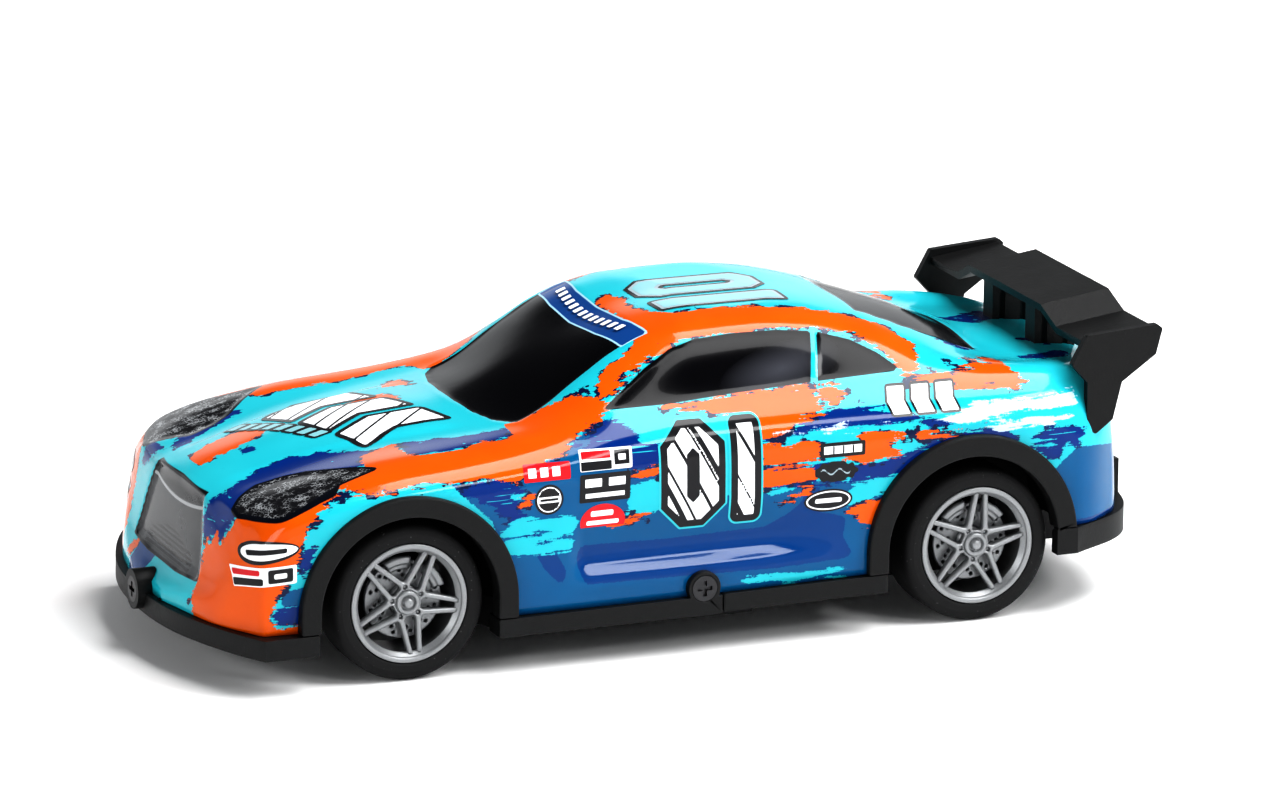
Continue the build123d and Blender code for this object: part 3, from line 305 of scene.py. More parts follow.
def printed_fields(x, y, z, side_weight):
    """Every printed shape as a signed distance at the given points of the body."""
    left = np.abs(x)
    front_face = (1 - step(-87.5, -86.0, y)) * (1 - step(26, 29, left))
    fields = {}
    for colour in SIDE_PAINT:
        side = union_field(SIDE_PAINT[colour], y, z)
        top = union_field(TOP_PAINT.get(colour, []), y, x)
        front = union_field(NOSE_PAINT.get(colour, []), x, z)
        behind = side * side_weight + top * (1 - side_weight)
        fields[colour] = front * front_face + behind * (1 - front_face)
    windscreen = polygon_field(WINDSCREEN, y, x)
    window = np.minimum(polygon_field(SIDE_WINDOW, y, z), -polygon_field(PILLAR, y, z))
    window = np.where(left > 20, window, FAR)
    glass = np.maximum(window, np.maximum(windscreen, polygon_field(REAR_GLASS, y, x)))
    fields["glass"] = np.clip(np.where(z > 40, glass, FAR), FAR, -FAR)
    fields["banner"] = np.where(z > 50, np.minimum(polygon_field(BANNER, y, x), windscreen), FAR)
    above = z - np.interp(y, *zip(*LAMP_FOOT))
    fields["lamp"] = np.where((y < -60) & (z > 24), np.minimum(polygon_field(LAMP, y, left), above), FAR)
    # Painted reflection: a lighter grey oval in the rear half of the side window, standing for a softbox
    # mirrored in the dark glass.
    fields["painted_window_reflection"] = 1 - np.hypot((y - 21 - 1.2 * (z - 52)) / 12, (z - 51.5) / 5)
    on_nose = y < -86
    fields["grille"] = np.where(on_nose, polygon_field(GRILLE, x, z), FAR)
    fields["rise"] = z - 28.6 - 1.3 * (x / 13) ** 2  # above the light line across the grille
    fields["slats"] = np.where(on_nose, np.minimum(23.5 - 0.25 * left - z, 12.5 - left), FAR)
    return fields


# --------------------------------------------------------------- mesh helpers
def new_object(name, vertices, faces, smooth=True):
    """A mesh object from points in millimetres."""
    mesh = bpy.data.meshes.new(name)
    mesh.from_pydata([tuple(float(c) * MM for c in v) for v in vertices], [], [tuple(f) for f in faces])
    mesh.validate()
    obj = bpy.data.objects.new(name, mesh)
    bpy.context.scene.collection.objects.link(obj)
    if smooth:
        mesh.polygons.foreach_set("use_smooth", [True] * len(mesh.polygons))
    return obj


def face_outwards(obj):
    bm = bmesh.new()
    bm.from_mesh(obj.data)
    bmesh.ops.recalc_face_normals(bm, faces=bm.faces)
    bm.to_mesh(obj.data)
    bm.free()


def modify(obj, kind, **settings):
    modifier = obj.modifiers.new(kind.lower(), kind)
    for key, value in settings.items():
        setattr(modifier, key, value)
    return modifier


def soften(obj, width):
    """Round the sharp edges of a moulded or turned piece."""
    modify(obj, "WELD", merge_threshold=1e-6)
    modify(obj, "BEVEL", width=width * MM, segments=2, limit_method="ANGLE", angle_limit=math.radians(35))


def finish_piece(obj, body, slot, material, *nodes):
    """Give a piece its material and its body, and hide the CAD nodes that it stands for. The slot is not
    used.
    """
    obj.data.materials.clear()
    obj.data.materials.append(material)
    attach(obj, body)
    if nodes:
        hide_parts(*nodes)
    return obj


# ------------------------------------------------------------------ materials
class Shader:
    """Short names for the shader nodes that the materials below are made of."""

    def __init__(self, name):
        self.material = bpy.data.materials.new(name)
        self.material.use_nodes = True
        self.tree = self.material.node_tree
        self.bsdf = self.tree.nodes["Principled BSDF"]
        self.place = self.tree.nodes.new("ShaderNodeTexCoord").outputs["Object"]

    def node(self, kind, inputs=(), **settings):
        node = self.tree.nodes.new("ShaderNode" + kind)
        for key, value in settings.items():
            setattr(node, key, value)
        for key, value in dict(inputs).items():
            self.feed(node.inputs[key], value)
        return node

    def feed(self, socket, value):
        """Link a node's output to the socket, or set the socket to a number, a vector or a colour."""
        if isinstance(value, bpy.types.NodeSocket):
            self.tree.links.new(value, socket)
        else:
            socket.default_value = (*value, 1) if socket.type == "RGBA" else value

    def maths(self, operation, a, b=0.0):
        return self.node("Math", {0: a, 1: b}, operation=operation).outputs[0]

    def add(self, a, b):
        return self.maths("ADD", a, b)

    def times(self, a, b):
        return self.maths("MULTIPLY", a, b)

    def attribute(self, name):
        return self.node("Attribute", attribute_name=name).outputs["Fac"]

    def noise(self, scale, detail=3.0, roughness=0.55):
        """Noise around zero; its scale is one number, or three along X, Y and Z (per metre)."""
        place = self.place
        if isinstance(scale, tuple):
            place, scale = self.node("Mapping", {"Vector": place, "Scale": scale}).outputs[0], 1.0
        inputs = {"Vector": place, "Scale": scale, "Detail": detail, "Roughness": roughness}
        return self.add(self.node("TexNoise", inputs).outputs["Fac"], -0.5)

    def ramp(self, value, start, end, low, high):
        """Straight from low to high as the value goes from start to end, and level outside."""
        inputs = {"Value": value, "From Min": start, "From Max": end, "To Min": low, "To Max": high}
        return self.node("MapRange", inputs).outputs["Result"]

    def edge(self, field, soft=0.06):
        """1 where the field is positive, 0 where it is negative."""
        return self.ramp(field, -soft, soft, 0.0, 1.0)

    def spread(self, noise, low, high):
        """Noise around zero brought between low and high."""
        return self.ramp(noise, -0.5, 0.5, low, high)

    def mix(self, mask, low, high):
        return self.node("Mix", {0: mask, 6: low, 7: high}, data_type="RGBA").outputs[2]

    def drift(self, scale, detail, low, high):
        """A colour that wanders slowly from low to high."""
        return self.mix(self.spread(self.noise(scale, detail), 0, 1), low, high)

    def layered(self, colour, layers):
        """Colours laid over a first one, each where its own mask is 1."""
        for mask, tint in layers:
            colour = self.mix(mask, colour, tint)
        return colour

    def bump(self, height, distance, strength=1.0):
        inputs = {"Height": height, "Distance": distance * MM, "Strength": strength}
        return self.node("Bump", inputs).outputs["Normal"]

    def set(self, **values):
        names = {"color": "Base Color", "metal": "Metallic", "rough": "Roughness", "normal": "Normal",
                 "coat": "Coat Weight", "coat_rough": "Coat Roughness", "specular": "Specular IOR Level"}
        for key, value in values.items():
            self.feed(self.bsdf.inputs[names[key]], value)
        return self.material


def moulded_plastic(name, colour, rough, grain=0.03, wear=0.15):
    """Matte moulded plastic: fine spark-eroded grain, faint scuffs and slow colour drift."""
    s = Shader(name)
    drift = s.noise(90, 3)
    light = tuple(min(1, c * (1 + wear) + 0.001) for c in colour)
    dark = tuple(c * (1 - wear) for c in colour)
    scuff = s.edge(s.add(s.noise((260, 1400, 1400), 4), -0.19), 0.03)
    scuffed = s.layered(s.mix(s.spread(drift, 0, 1), dark, light),
                        [(s.times(scuff, 0.25), tuple(min(1, c + 0.02) for c in colour))])
    height = s.add(s.noise(2600, 2), s.times(s.noise(900, 2), 0.7))
    return s.set(color=scuffed, rough=s.add(s.times(drift, 0.16), rough), normal=s.bump(height, grain),
                 specular=0.28)


def silver_paint(name):
    """Silver paint on moulded plastic: fine flakes, and dust that dulls it in random patches."""
    s = Shader(name)
    flake = s.noise(5200, 1)
    drift = s.noise(240, 3)
    colour = s.mix(s.spread(flake, 0.15, 0.85), (0.21, 0.217, 0.225), (0.35, 0.358, 0.366))
    colour = s.mix(s.spread(drift, 0, 0.35), colour, (0.22, 0.225, 0.23))
    return s.set(color=colour, metal=0.55, rough=s.add(s.times(flake, 0.18), 0.36),
                 normal=s.bump(flake, 0.012))


def tyre_rubber(name):
    s = Shader(name)
    drift = s.noise(160, 3)
    fine = s.noise(3000, 2)
    dust = s.edge(s.add(s.noise(1500, 1), -0.24), 0.03)
    colour = s.mix(s.spread(drift, 0, 1), (0.006, 0.006, 0.0065), (0.012, 0.012, 0.0125))
    colour = s.mix(s.times(dust, 0.5), colour, (0.10, 0.10, 0.10))
    return s.set(color=colour, rough=s.add(s.times(drift, 0.2), 0.72), normal=s.bump(fine, 0.03),
                 specular=0.3)


def metal(name, colour, rough=0.3):
    """Turned or drawn metal with fine lines along X."""
    s = Shader(name)
    lines = s.noise((200, 3000, 3000), 2)
    return s.set(color=s.drift(300, 2, tuple(c * 0.75 for c in colour), colour), metal=1.0,
                 rough=s.add(s.times(lines, 0.25), rough), normal=s.bump(lines, 0.01))


def brushed_paint(s):
    """Brushed patches of colour, from the cyan ground to the pale streaks on top, which are painted
    highlights: reflections of the softboxes.
    """
    streak = s.add(s.times(s.noise((500, 120, 1500), 4, 0.6), 5.0),
                   s.times(s.noise((1500, 250, 500), 3, 0.6), 2.6))
    fine = s.times(s.noise(1700, 3, 0.65), 1.8)
    ragged = s.add(streak, fine)
    fringe = s.add(s.times(s.noise(330, 3), 6.5), 0.30)

    def patch(colour, brush, amount):
        return s.add(s.attribute(colour), s.times(brush, amount))

    cyan = s.drift(55, 2, (0.010, 0.38, 0.46), (0.03, 0.49, 0.56))
    royal, orange = patch("royal", ragged, 1.0), patch("orange", ragged, 0.8)
    speck = s.edge(s.add(s.noise((900, 420, 1700), 4, 0.7), -0.235), 0.01)
    light_streak = s.edge(s.add(s.noise((300, 60, 1900), 3, 0.5), -0.17), 0.01)
    return s.layered(cyan, [
        (speck, (0.003, 0.06, 0.20)),
        (s.edge(patch("blue", fine, 0.6)), s.drift(70, 2, (0.0, 0.070, 0.19), (0.0, 0.105, 0.25))),
        # deep blue, with painted shade in the door's hollow
        (s.edge(patch("deep_blue_and_shade", fine, 0.4)), (0.0, 0.044, 0.18)),
        (s.edge(s.add(royal, s.times(fringe, 0.5))), (0.003, 0.02, 0.09)),
        (s.edge(royal), (0.0, 0.026, 0.17)),
        (s.times(light_streak, s.edge(s.add(royal, -1.2))), cyan),
        (s.edge(patch("cyan", ragged, 0.7)), cyan),
        (s.edge(s.add(orange, fringe)), (0.004, 0.012, 0.05)),
        (s.edge(orange), s.drift(80, 2, (0.60, 0.080, 0.001), (0.70, 0.110, 0.003))),
        # pale streaks: painted highlights laid over the paint
        (s.times(s.edge(patch("pale", ragged, 0.7), 0.15), 0.8), (0.62, 0.80, 0.95)),
    ])


def lamp_print(s, net):
    """Light dots of a halftone that drift in size."""
    light = s.add(s.times(s.noise((500, 240, 900), 2), 2.4), 0.10)
    halftone = s.edge(s.add(net, s.times(light, -0.35)), 0.05)
    return s.mix(halftone, (0.26, 0.27, 0.28), (0.008, 0.008, 0.010))


def grille_print(s, net):
    """Dark slats below, a net above, and a light line between them."""
    dark = (0.010, 0.010, 0.012)
    rise = s.attribute("rise")
    wave = {"Vector": s.place, "Scale": 330.0, "Distortion": 0.3, "Detail": 1.0}
    bars = s.node("TexWave", wave, bands_direction="Z").outputs["Fac"]
    line = s.add(s.times(s.maths("ABSOLUTE", rise), -1.0), 0.32)
    return s.layered(s.drift(120, 2, (0.032, 0.034, 0.037), (0.060, 0.062, 0.066)), [
        (s.times(s.edge(s.add(bars, -0.55), 0.2), s.edge(s.attribute("slats"), 0.2)), dark),
        (s.times(s.edge(s.add(net, -0.10), 0.05), s.edge(s.add(rise, -0.6), 0.2)), dark),
        (s.edge(line, 0.1), (0.34, 0.35, 0.36)),
    ])


def printed_film(name):
    """Clear glossy film with paint, dark glass, lamps and a grille printed under it."""
    s = Shader(name)
    cells = {"Vector": s.place, "Scale": 1500.0}
    net = s.node("TexVoronoi", cells, feature="DISTANCE_TO_EDGE").outputs["Distance"]
    glass, banner, lamp, grille = (s.attribute(field) for field in ("glass", "banner", "lamp", "grille"))
    # The lighter grey patch on the glass is a painted reflection of a softbox.
    painted_window_reflection = s.maths("MAXIMUM", s.attribute("painted_window_reflection"), 0.0)
    colour = s.layered(brushed_paint(s), [
        (s.edge(glass), s.mix(painted_window_reflection, (0.002, 0.002, 0.003), (0.055, 0.057, 0.068))),
        (s.edge(s.add(banner, 0.35)), (0.35, 0.6, 0.75)),
        (s.edge(banner), (0.008, 0.06, 0.22)),
        (s.edge(s.add(lamp, 0.7)), (0.003, 0.004, 0.008)),
        (s.edge(lamp), lamp_print(s, net)),
        (s.edge(s.add(grille, 0.5)), (0.006, 0.006, 0.008)),
        (s.edge(grille), grille_print(s, net)),
    ])
    gloss = s.add(s.times(s.edge(glass), -0.25), 0.35)
    return s.set(color=colour, rough=0.16, normal=s.bump(s.noise(170, 2), 0.05, 0.5), coat=gloss,
                 coat_rough=0.03, specular=0.1)


# ------------------------------------------------------------------ the body
def moulding(x, y, z):
    """Depth of the moulded details below the bare surface: the door ledge and the raised bonnet."""
    left = np.abs(x)
    flank = (left > 34).astype(float)
    along = step(-27, -22.5, y) * (1 - step(12, 34, y))
    hollow = step(16.4, 20.6, z) * (1 - step(20.6, 30.0, z))
    depth = 1.75 * hollow * along * flank
    lip = step(13.6, 15.6, z) * (1 - step(15.9, 17.2, z))
    depth -= 0.35 * lip * flank * step(-27, -22, y) * (1 - step(24, 33, y))
    bonnet = step(-88, -80, y) * (1 - step(-46, -37, y)) * (z > 30)
    edge = left - (10.5 + (y + 88) * 0.10)
    depth -= 0.45 * bonnet * (1 - step(0.0, 3.2, edge))
    return depth


def outward_normals(points):
    """Unit normals of a net of points, on the side where most of them point up."""
    normals = np.cross(np.gradient(points, axis=2), np.gradient(points, axis=1), axis=0)
    normals /= np.linalg.norm(normals, axis=0) + 1e-9
    return normals if normals[2].mean() > 0 else -normals


def moulded_half(ys, ts):
    """The left half of the body with its moulded details, as (x, z) at every y and t."""
    half = half_section(ys, ts)
    x, z = half[:, :, 0], half[:, :, 1]
    y = np.repeat(ys[:, None], len(ts), axis=1)
    normals = outward_normals(np.stack([x, y, z]))
    depth = moulding(x, y, z)
    return np.stack([x - normals[0] * depth, np.minimum(z - normals[2] * depth, ROOF_Z)], axis=-1)


class Surface:
    """Looks up the height or the half width of the body; both flanks are alike."""

    UPPER = 200  # heights are looked up on the row's points from here on, above the flank

    def __init__(self):
        self.ys = np.linspace(NOSE_Y, TAIL_Y, 780)
        self.ts = np.linspace(0, 4.999, 400)
        self.net = moulded_half(self.ys, self.ts)

    def look_up(self, y, key, wanted, by, first=0):
        """The wanted coordinate (0 is x, 1 is z) where the other one, `by`, equals key on the section y."""
        at = (y - NOSE_Y) / (TAIL_Y - NOSE_Y) * (len(self.ys) - 1)
        i = int(np.clip(at, 0, len(self.ys) - 2))
        part = at - i
        row = (self.net[i] * (1 - part) + self.net[i + 1] * part)[first:]
        order = np.argsort(row[:, by])
        return np.interp(key, row[order, by], row[order, wanted])

    def side_x(self, y, z):
        flat = [self.look_up(a, b, 0, 1) for a, b in zip(y.ravel(), z.ravel())]
        return np.array(flat).reshape(y.shape)

    def top_z(self, y, x):
        flat = [self.look_up(a, abs(b), 1, 0, self.UPPER) for a, b in zip(y.ravel(), x.ravel())]
        return np.array(flat).reshape(y.shape)


surface = Surface()


def sunk_prints(points, fields):
    """Sink the printed glass, lamps and grille a little into the moulded surface."""
    depth = 0.3 * step(-0.35, 0.45, fields["glass"])
    depth += 0.25 * step(-0.2, 0.5, fields["lamp"])
    depth += 0.7 * step(-0.3, 0.6, fields["grille"])
    return points - outward_normals(points) * depth


def in_arch(places):
    """Whether each place on a flank lies in a wheel arch or below it."""
    inside = np.zeros(len(places), bool)
    for arch_y, arch_z, inner, outer in ARCHES:
        edge = (inner + outer) / 2
        off = np.abs(places[:, 1] - arch_y)
        inside |= np.hypot(off, places[:, 2] - arch_z) < edge
        inside |= (off < edge) & (places[:, 2] < arch_z)
    return inside & (np.abs(places[:, 0]) > 25)


def body_film():
    """The whole body as one net of quads, its ends closed down to the sill, with the arches cut out."""
    ys = np.concatenate([np.linspace(NOSE_Y, -86, 34), np.linspace(-86, 84, 205)[1:],
                         np.linspace(84, TAIL_Y, 36)[1:]])
    bands = [10, 18, 13, 20, 23]  # quads across each band between two lines
    ts = np.concatenate([k + np.arange(n) / n for k, n in enumerate(bands)] + [[4.99999]])
    half = moulded_half(ys, ts)
    half[:, -1, 0] = 0
    full = np.concatenate([half, half[:, -2::-1] * [-1, 1]], axis=1)
    x, z = full[:, :, 0], full[:, :, 1]
    y = np.repeat(ys[:, None], x.shape[1], axis=1)
    border = np.where((y > -33) & (y < 74), 3.98, 2.98)  # the side paint reaches higher beside the windows
    side_weight = 1 - step(-0.25, 0.25, np.concatenate([ts, ts[-2::-1]]) - border)
    fields = printed_fields(x, y, z, side_weight)
    moved = sunk_prints(np.stack([x, y, z]), fields)
    rows, columns = y.shape
    ends = [np.stack([moved[0, end], moved[1, end], np.full(columns, SILL[end][2])]).T for end in (0, -1)]
    vertices = np.concatenate([ends[0], moved.reshape(3, -1).T, ends[1]])
    index = np.arange((rows + 2) * columns).reshape(rows + 2, columns)
    quads = np.stack([index[:-1, :-1], index[:-1, 1:], index[1:, 1:], index[1:, :-1]], axis=-1).reshape(-1, 4)
    used = quads[~in_arch(vertices[quads].mean(axis=1))]
    numbers, places = np.unique(used, return_inverse=True)
    obj = new_object("printed_body_film", vertices[numbers], places.reshape(used.shape))
    for name, values in fields.items():
        flat = np.concatenate([values[0], values.ravel(), values[-1]])
        layer = obj.data.attributes.new(name, "FLOAT", "POINT")
        layer.data.foreach_set("value", flat[numbers].astype(np.float32))
    face_outwards(obj)
    modify(obj, "SOLIDIFY", thickness=FILM * MM, offset=-1, use_rim=True, material_offset=1)
    return obj


film = printed_film("printed_film")
shell = finish_piece(body_film(), "root", "printed_shell", film, "body_shell")
# The inner face of the film is black: a backing, and dark also as painted shade for the inside of the body
# seen through the gaps.
shell.data.materials.append(moulded_plastic("film_backing_and_inner_shade", (0.008, 0.008, 0.009), 0.6))


# ------------------------------------------------------------- flat outlines
def outline_mesh(field, low, high, cell):
    """Quads that fill the area where the field is positive, with their border pulled onto its edge."""
    us = np.arange(low[0], high[0] + cell, cell)
    vs = np.arange(low[1], high[1] + cell, cell)
    u, v = np.meshgrid(us, vs, indexing="ij")
    centre = field(u[:-1, :-1] + cell / 2, v[:-1, :-1] + cell / 2)
    index = np.arange(u.size).reshape(u.shape)
    quads = np.stack([index[:-1, :-1], index[1:, :-1], index[1:, 1:], index[:-1, 1:]], axis=-1)[centre > 0]
    numbers, counts = np.unique(quads, return_counts=True)
    border = counts < 4
    pu, pv = u.ravel()[numbers], v.ravel()[numbers]
    tiny = 0.01
    for _ in range(3):
        f = field(pu, pv)
        gu = (field(pu + tiny, pv) - field(pu - tiny, pv)) / (2 * tiny)
        gv = (field(pu, pv + tiny) - field(pu, pv - tiny)) / (2 * tiny)
        size = np.maximum(gu * gu + gv * gv, 0.2)
        move = np.clip(-f / size, -cell, cell) * border
        pu, pv = pu + gu * move, pv + gv * move
    lookup = np.full(u.size, -1)
    lookup[numbers] = np.arange(len(numbers))
    return pu, pv, lookup[quads]


def capsule(u, v, a, b, r):
    """Signed distance of a round-ended bar from a to b."""
    du, dv = b[0] - a[0], b[1] - a[1]
    t = np.clip(((u - a[0]) * du + (v - a[1]) * dv) / (du * du + dv * dv), 0, 1)
    return r - np.hypot(u - a[0] - t * du, v - a[1] - t * dv)


def melt(a, b, k):
    """Union of two fields with a fillet of about k."""
    h = np.clip(0.5 + 0.5 * (a - b) / k, 0, 1)
    return b + (a - b) * h + k * h * (1 - h)


def revolve(profile, segments):
    """A closed profile of (x, r) turned about the X axis."""
    vertices, faces = [], []
    n = len(profile)
    for s in range(segments):
        angle = 2 * math.pi * s / segments
        vertices += [(x, r * math.cos(angle), r * math.sin(angle)) for x, r in profile]
        t = (s + 1) % segments
        for k in range(n):
            m = (k + 1) % n
            faces.append((s * n + k, s * n + m, t * n + m, t * n + k))
    return vertices, faces


def merged(parts):
    """One list of points and one of faces from several."""
    vertices, faces = [], []
    for points, polygons in parts:
        faces += [tuple(int(i) + len(vertices) for i in polygon) for polygon in polygons]
        vertices += [tuple(p) for p in points]
    return vertices, faces


def join(name, parts):
    """One smooth object from several lists of points and faces."""
    obj = new_object(name, *merged(parts))
    face_outwards(obj)
    return obj


def relief(field, low, high, cell, top, bottom, rounding):
    """A moulded plate on its outline: rounded along its edges, from x = top down to x = bottom."""
    u, v, quads = outline_mesh(field, low, high, cell)
    f = np.clip(field(u, v) / rounding, 0, 1)
    height = top(u, v) - rounding * (1 - np.sqrt(np.maximum(0, 1 - (1 - f) ** 2)))
    n = len(u)
    upper = np.stack([height, u, v]).T
    lower = np.stack([np.full(n, bottom), u, v]).T
    edges = {}
    for quad in quads:
        for a, b in zip(quad, np.roll(quad, -1)):
            key = (min(a, b), max(a, b))
            edges[key] = None if key in edges else (a, b)
    walls = [(a, a + n, b + n, b) for a, b in (e for e in edges.values() if e is not None)]
    faces = [tuple(q) for q in quads] + [tuple(q[::-1] + n) for q in quads] + walls
    return np.concatenate([upper, lower]), faces


def placed(parts, side, y, turn):
    """Turn parts about the axle and put them at one corner; the right side is the left turned round."""
    out = []
    c, s = math.cos(turn), math.sin(turn)
    for points, faces in parts:
        p = np.array(points, float)
        py, pz = p[:, 1] * c - p[:, 2] * s, p[:, 1] * s + p[:, 2] * c
        out.append((np.stack([side * p[:, 0], side * py + y, pz + AXLE_Z]).T, faces))
    return out


# -------------------------------------------------------------------- wheels
BOLT_R = 3.0  # from the axle to the hub's holes and nuts


def fifths(shift=0):
    """Five angles, evenly round the hub."""
    return [math.radians(72 * k + shift) for k in range(5)]


def spoke_star(u, v):
    """Five pairs of spokes that lean together towards the rim, with round webs at the hub."""
    field = 2.75 - np.hypot(u, v)
    for angle in fifths():
        c, s = math.cos(angle), math.sin(angle)
        a, b = u * c + v * s, -u * s + v * c
        both = np.maximum(capsule(a, b, (2.6, 1.75), (10.2, 0.92), 0.5),
                          capsule(a, b, (2.6, -1.75), (10.2, -0.92), 0.5))
        field = melt(field, both, 0.9)
    return np.minimum(field, 10.3 - np.hypot(u, v))


def spoke_face(u, v):
    """How far out the face of the spokes lies: hollow at the hub and falling a little to the rim."""
    r = np.hypot(u, v)
    return 38.75 - 0.25 * step(3, 9.5, r) - 0.35 * (1 - step(2.1, 3.4, r))


def hub_holes(u, v):
    return union([0.42 - np.hypot(u - BOLT_R * math.cos(a), v - BOLT_R * math.sin(a)) for a in fifths(36)],
                 u.shape)


def star_field(u, v):
    """The spokes with their hub holes, open in the middle for the stub axle's end."""
    return np.minimum(np.minimum(spoke_star(u, v), -hub_holes(u, v)), np.hypot(u, v) - 2.15)


def rim_parts():
    """One left rim: its barrel and lip, the hollow hub ring, the spokes, the sleeve and five nuts."""
    lip = [(39.5, 11.35), (39.42, 11.48), (38.9, 11.5), (38.7, 11.0), (28.3, 11.0), (28.1, 11.5),
           (27.6, 11.5), (27.5, 11.3), (27.5, 10.4), (28.2, 10.2), (36.4, 10.1), (37.6, 9.75), (38.0, 9.7),
           (38.05, 9.95), (38.35, 9.97), (38.4, 10.2), (38.7, 10.22), (38.75, 10.42), (39.3, 10.5),
           (39.5, 10.6)]
    ring = [(38.6, 2.3), (38.95, 2.2), (39.05, 2.0), (39.05, 1.65), (38.9, 1.5), (38.2, 1.45), (38.2, 0.95),
            (39.3, 0.9), (39.5, 0.75), (39.55, 0.4), (39.55, 0.001), (37.95, 0.001), (37.95, 2.0),
            (36.5, 2.05), (36.5, 2.5)]
    sleeve = [(36.9, 1.6), (36.9, 2.9), (28.7, 2.9), (28.7, 1.6)]
    nut = [(37.9, 0.34), (38.1, 0.3), (38.15, 0.15), (38.15, 0.001), (37.3, 0.001), (37.3, 0.34)]
    star = relief(star_field, (-10.6, -10.6), (10.6, 10.6), 0.2, spoke_face, 37.0, 0.28)
    points, faces = revolve(nut, 12)
    nuts = [([(x, y + BOLT_R * math.cos(a), z + BOLT_R * math.sin(a)) for x, y, z in points], faces)
            for a in fifths(36)]
    return [revolve(lip, 96), revolve(ring, 48), star, revolve(sleeve, 32), *nuts]


def disc_field(u, v):
    """A flat ring with three rings of drilled holes."""
    r = np.hypot(u, v)
    field = np.minimum(7.6 - r, r - 2.95)
    for k in range(12):
        for radius, shift in ((4.6, 0), (5.6, 7), (6.6, 14)):
            angle = math.radians(30 * k + shift)
            hole = np.hypot(u - radius * math.cos(angle), v - radius * math.sin(angle)) - 0.33
            field = np.minimum(field, hole)
    return field


def caliper(middle):
    """A block over the disc's edge, about the angle `middle` in degrees."""
    def field(u, v):
        r = np.hypot(u, v)
        turn = (np.arctan2(v, u) - math.radians(middle) + math.pi) % (2 * math.pi) - math.pi
        return np.minimum(np.minimum(8.35 - r, r - 5.9), (0.34 - np.abs(turn)) * r)

    return relief(field, (-8.6, -8.6), (8.6, 8.6), 0.2,
                  lambda u, v: 36.5 + 0.35 * step(6.8, 7.2, np.hypot(u, v)), 35.1, 0.35)


def disc_parts():
    plate = relief(disc_field, (-7.8, -7.8), (7.8, 7.8), 0.17,
                   lambda u, v: np.full(u.shape, 35.8), 34.7, 0.12)
    return [plate, caliper(100), caliper(35)]


def tyre_parts():
    """One left tyre: a smooth tread, rounded shoulders and a faint raised band on its outer wall."""
    profile = [(28.0, 11.05), (27.9, 11.7), (27.62, 12.0), (27.56, 12.5), (27.52, 13.2), (27.6, 13.9),
               (27.9, 14.45), (28.4, 14.8), (29.2, 15.02), (30.6, 15.08), (33.2, 15.1), (33.8, 15.1),
               (36.4, 15.08), (37.8, 15.02), (38.6, 14.8), (39.1, 14.45), (39.4, 13.9), (39.43, 13.6),
               (39.49, 13.5), (39.49, 13.2), (39.46, 12.6), (39.48, 12.1), (39.42, 11.85), (39.2, 11.62),
               (39.0, 11.52), (38.85, 11.05)]
    return [revolve(profile, 128)]


plastic = moulded_plastic("black_moulded_plastic", (0.0060, 0.0062, 0.0065), 0.5)
silver = silver_paint("silver_wheel_paint")
rubber = tyre_rubber("tyre_rubber")
CALIPER_TURN = 63  # the turn of the wheel whose calipers stand where they are drawn
# Side, axle, turn about it in degrees, body, and the CAD's own caps that the rim stands for.
CORNERS = {"left_front": (1, FRONT_Y, 63, "left_front_wheel", ["left_front_cap"]),
           "right_front": (-1, FRONT_Y, 80, "right_front_wheel", ["right_front_cap"]),
           "left_rear": (1, REAR_Y, 83, "rear_wheels", []),
           "right_rear": (-1, REAR_Y, 97, "rear_wheels", ["rear_hub_caps"])}
rim_shape, disc_shape, tyre_shape = rim_parts(), disc_parts(), tyre_parts()


def wheel(corner, side, y, turn, body, caps):
    rim = join(f"{corner}_wheel_rim", placed(rim_shape, side, y, math.radians(turn)))
    modify(rim, "WELD", merge_threshold=1e-6)
    finish_piece(rim, body, "silver_plastic", silver, f"{corner}_rim", *caps)
    disc = join(f"{corner}_disc_detail", placed(disc_shape, side, y, math.radians(turn - CALIPER_TURN)))
    modify(disc, "WELD", merge_threshold=1e-6)
    finish_piece(disc, body, "silver_plastic", silver, f"{corner}_brake_disc")
    tyre = join(f"{corner}_tyre_detail", placed(tyre_shape, side, y, 0))
    finish_piece(tyre, body, "tyre_rubber", rubber, f"{corner}_tyre")


for corner, facts in CORNERS.items():
    wheel(corner, *facts)

# Sections (x, r) of the two walls that close a wheel well.
LINER = [(23.5, 20.2), (38.9, 20.2), (38.9, 20.9), (23.5, 20.9)]
INNER_WALL = [(23.5, 12.0), (24.1, 12.0), (24.1, 20.4), (23.5, 20.4)]


def well_liner(name, side, arch, start, end, section=LINER):
    """A thin black round wall behind an arch, from one angle to another in degrees."""
    arch_y, arch_z = arch[:2]
    vertices, faces = [], []
    steps = 40
    for k in range(steps + 1):
        angle = math.radians(start + (end - start) * k / steps)
        c, s = math.cos(angle), math.sin(angle)
        vertices += [(side * x, arch_y + r * c, arch_z + r * s) for x, r in section]
    for k in range(steps):
        for m in range(4):
            n = (m + 1) % 4
            faces.append((4 * k + m, 4 * k + n, 4 * k + 4 + n, 4 * k + 4 + m))
    faces += [(0, 1, 2, 3), tuple(4 * steps + m for m in (3, 2, 1, 0))]
    obj = new_object(name, vertices, faces, smooth=False)
    face_outwards(obj)
    finish_piece(obj, "root", "black_plastic", plastic)


for side, label in ((1, "left"), (-1, "right")):
    well_liner(f"{label}_front_well_liner", side, ARCHES[0], -6, 186)
    well_liner(f"{label}_rear_well_liner", side, ARCHES[1], 6, 186)
    well_liner(f"{label}_rear_well_wall", side, ARCHES[1], 6, 112, INNER_WALL)


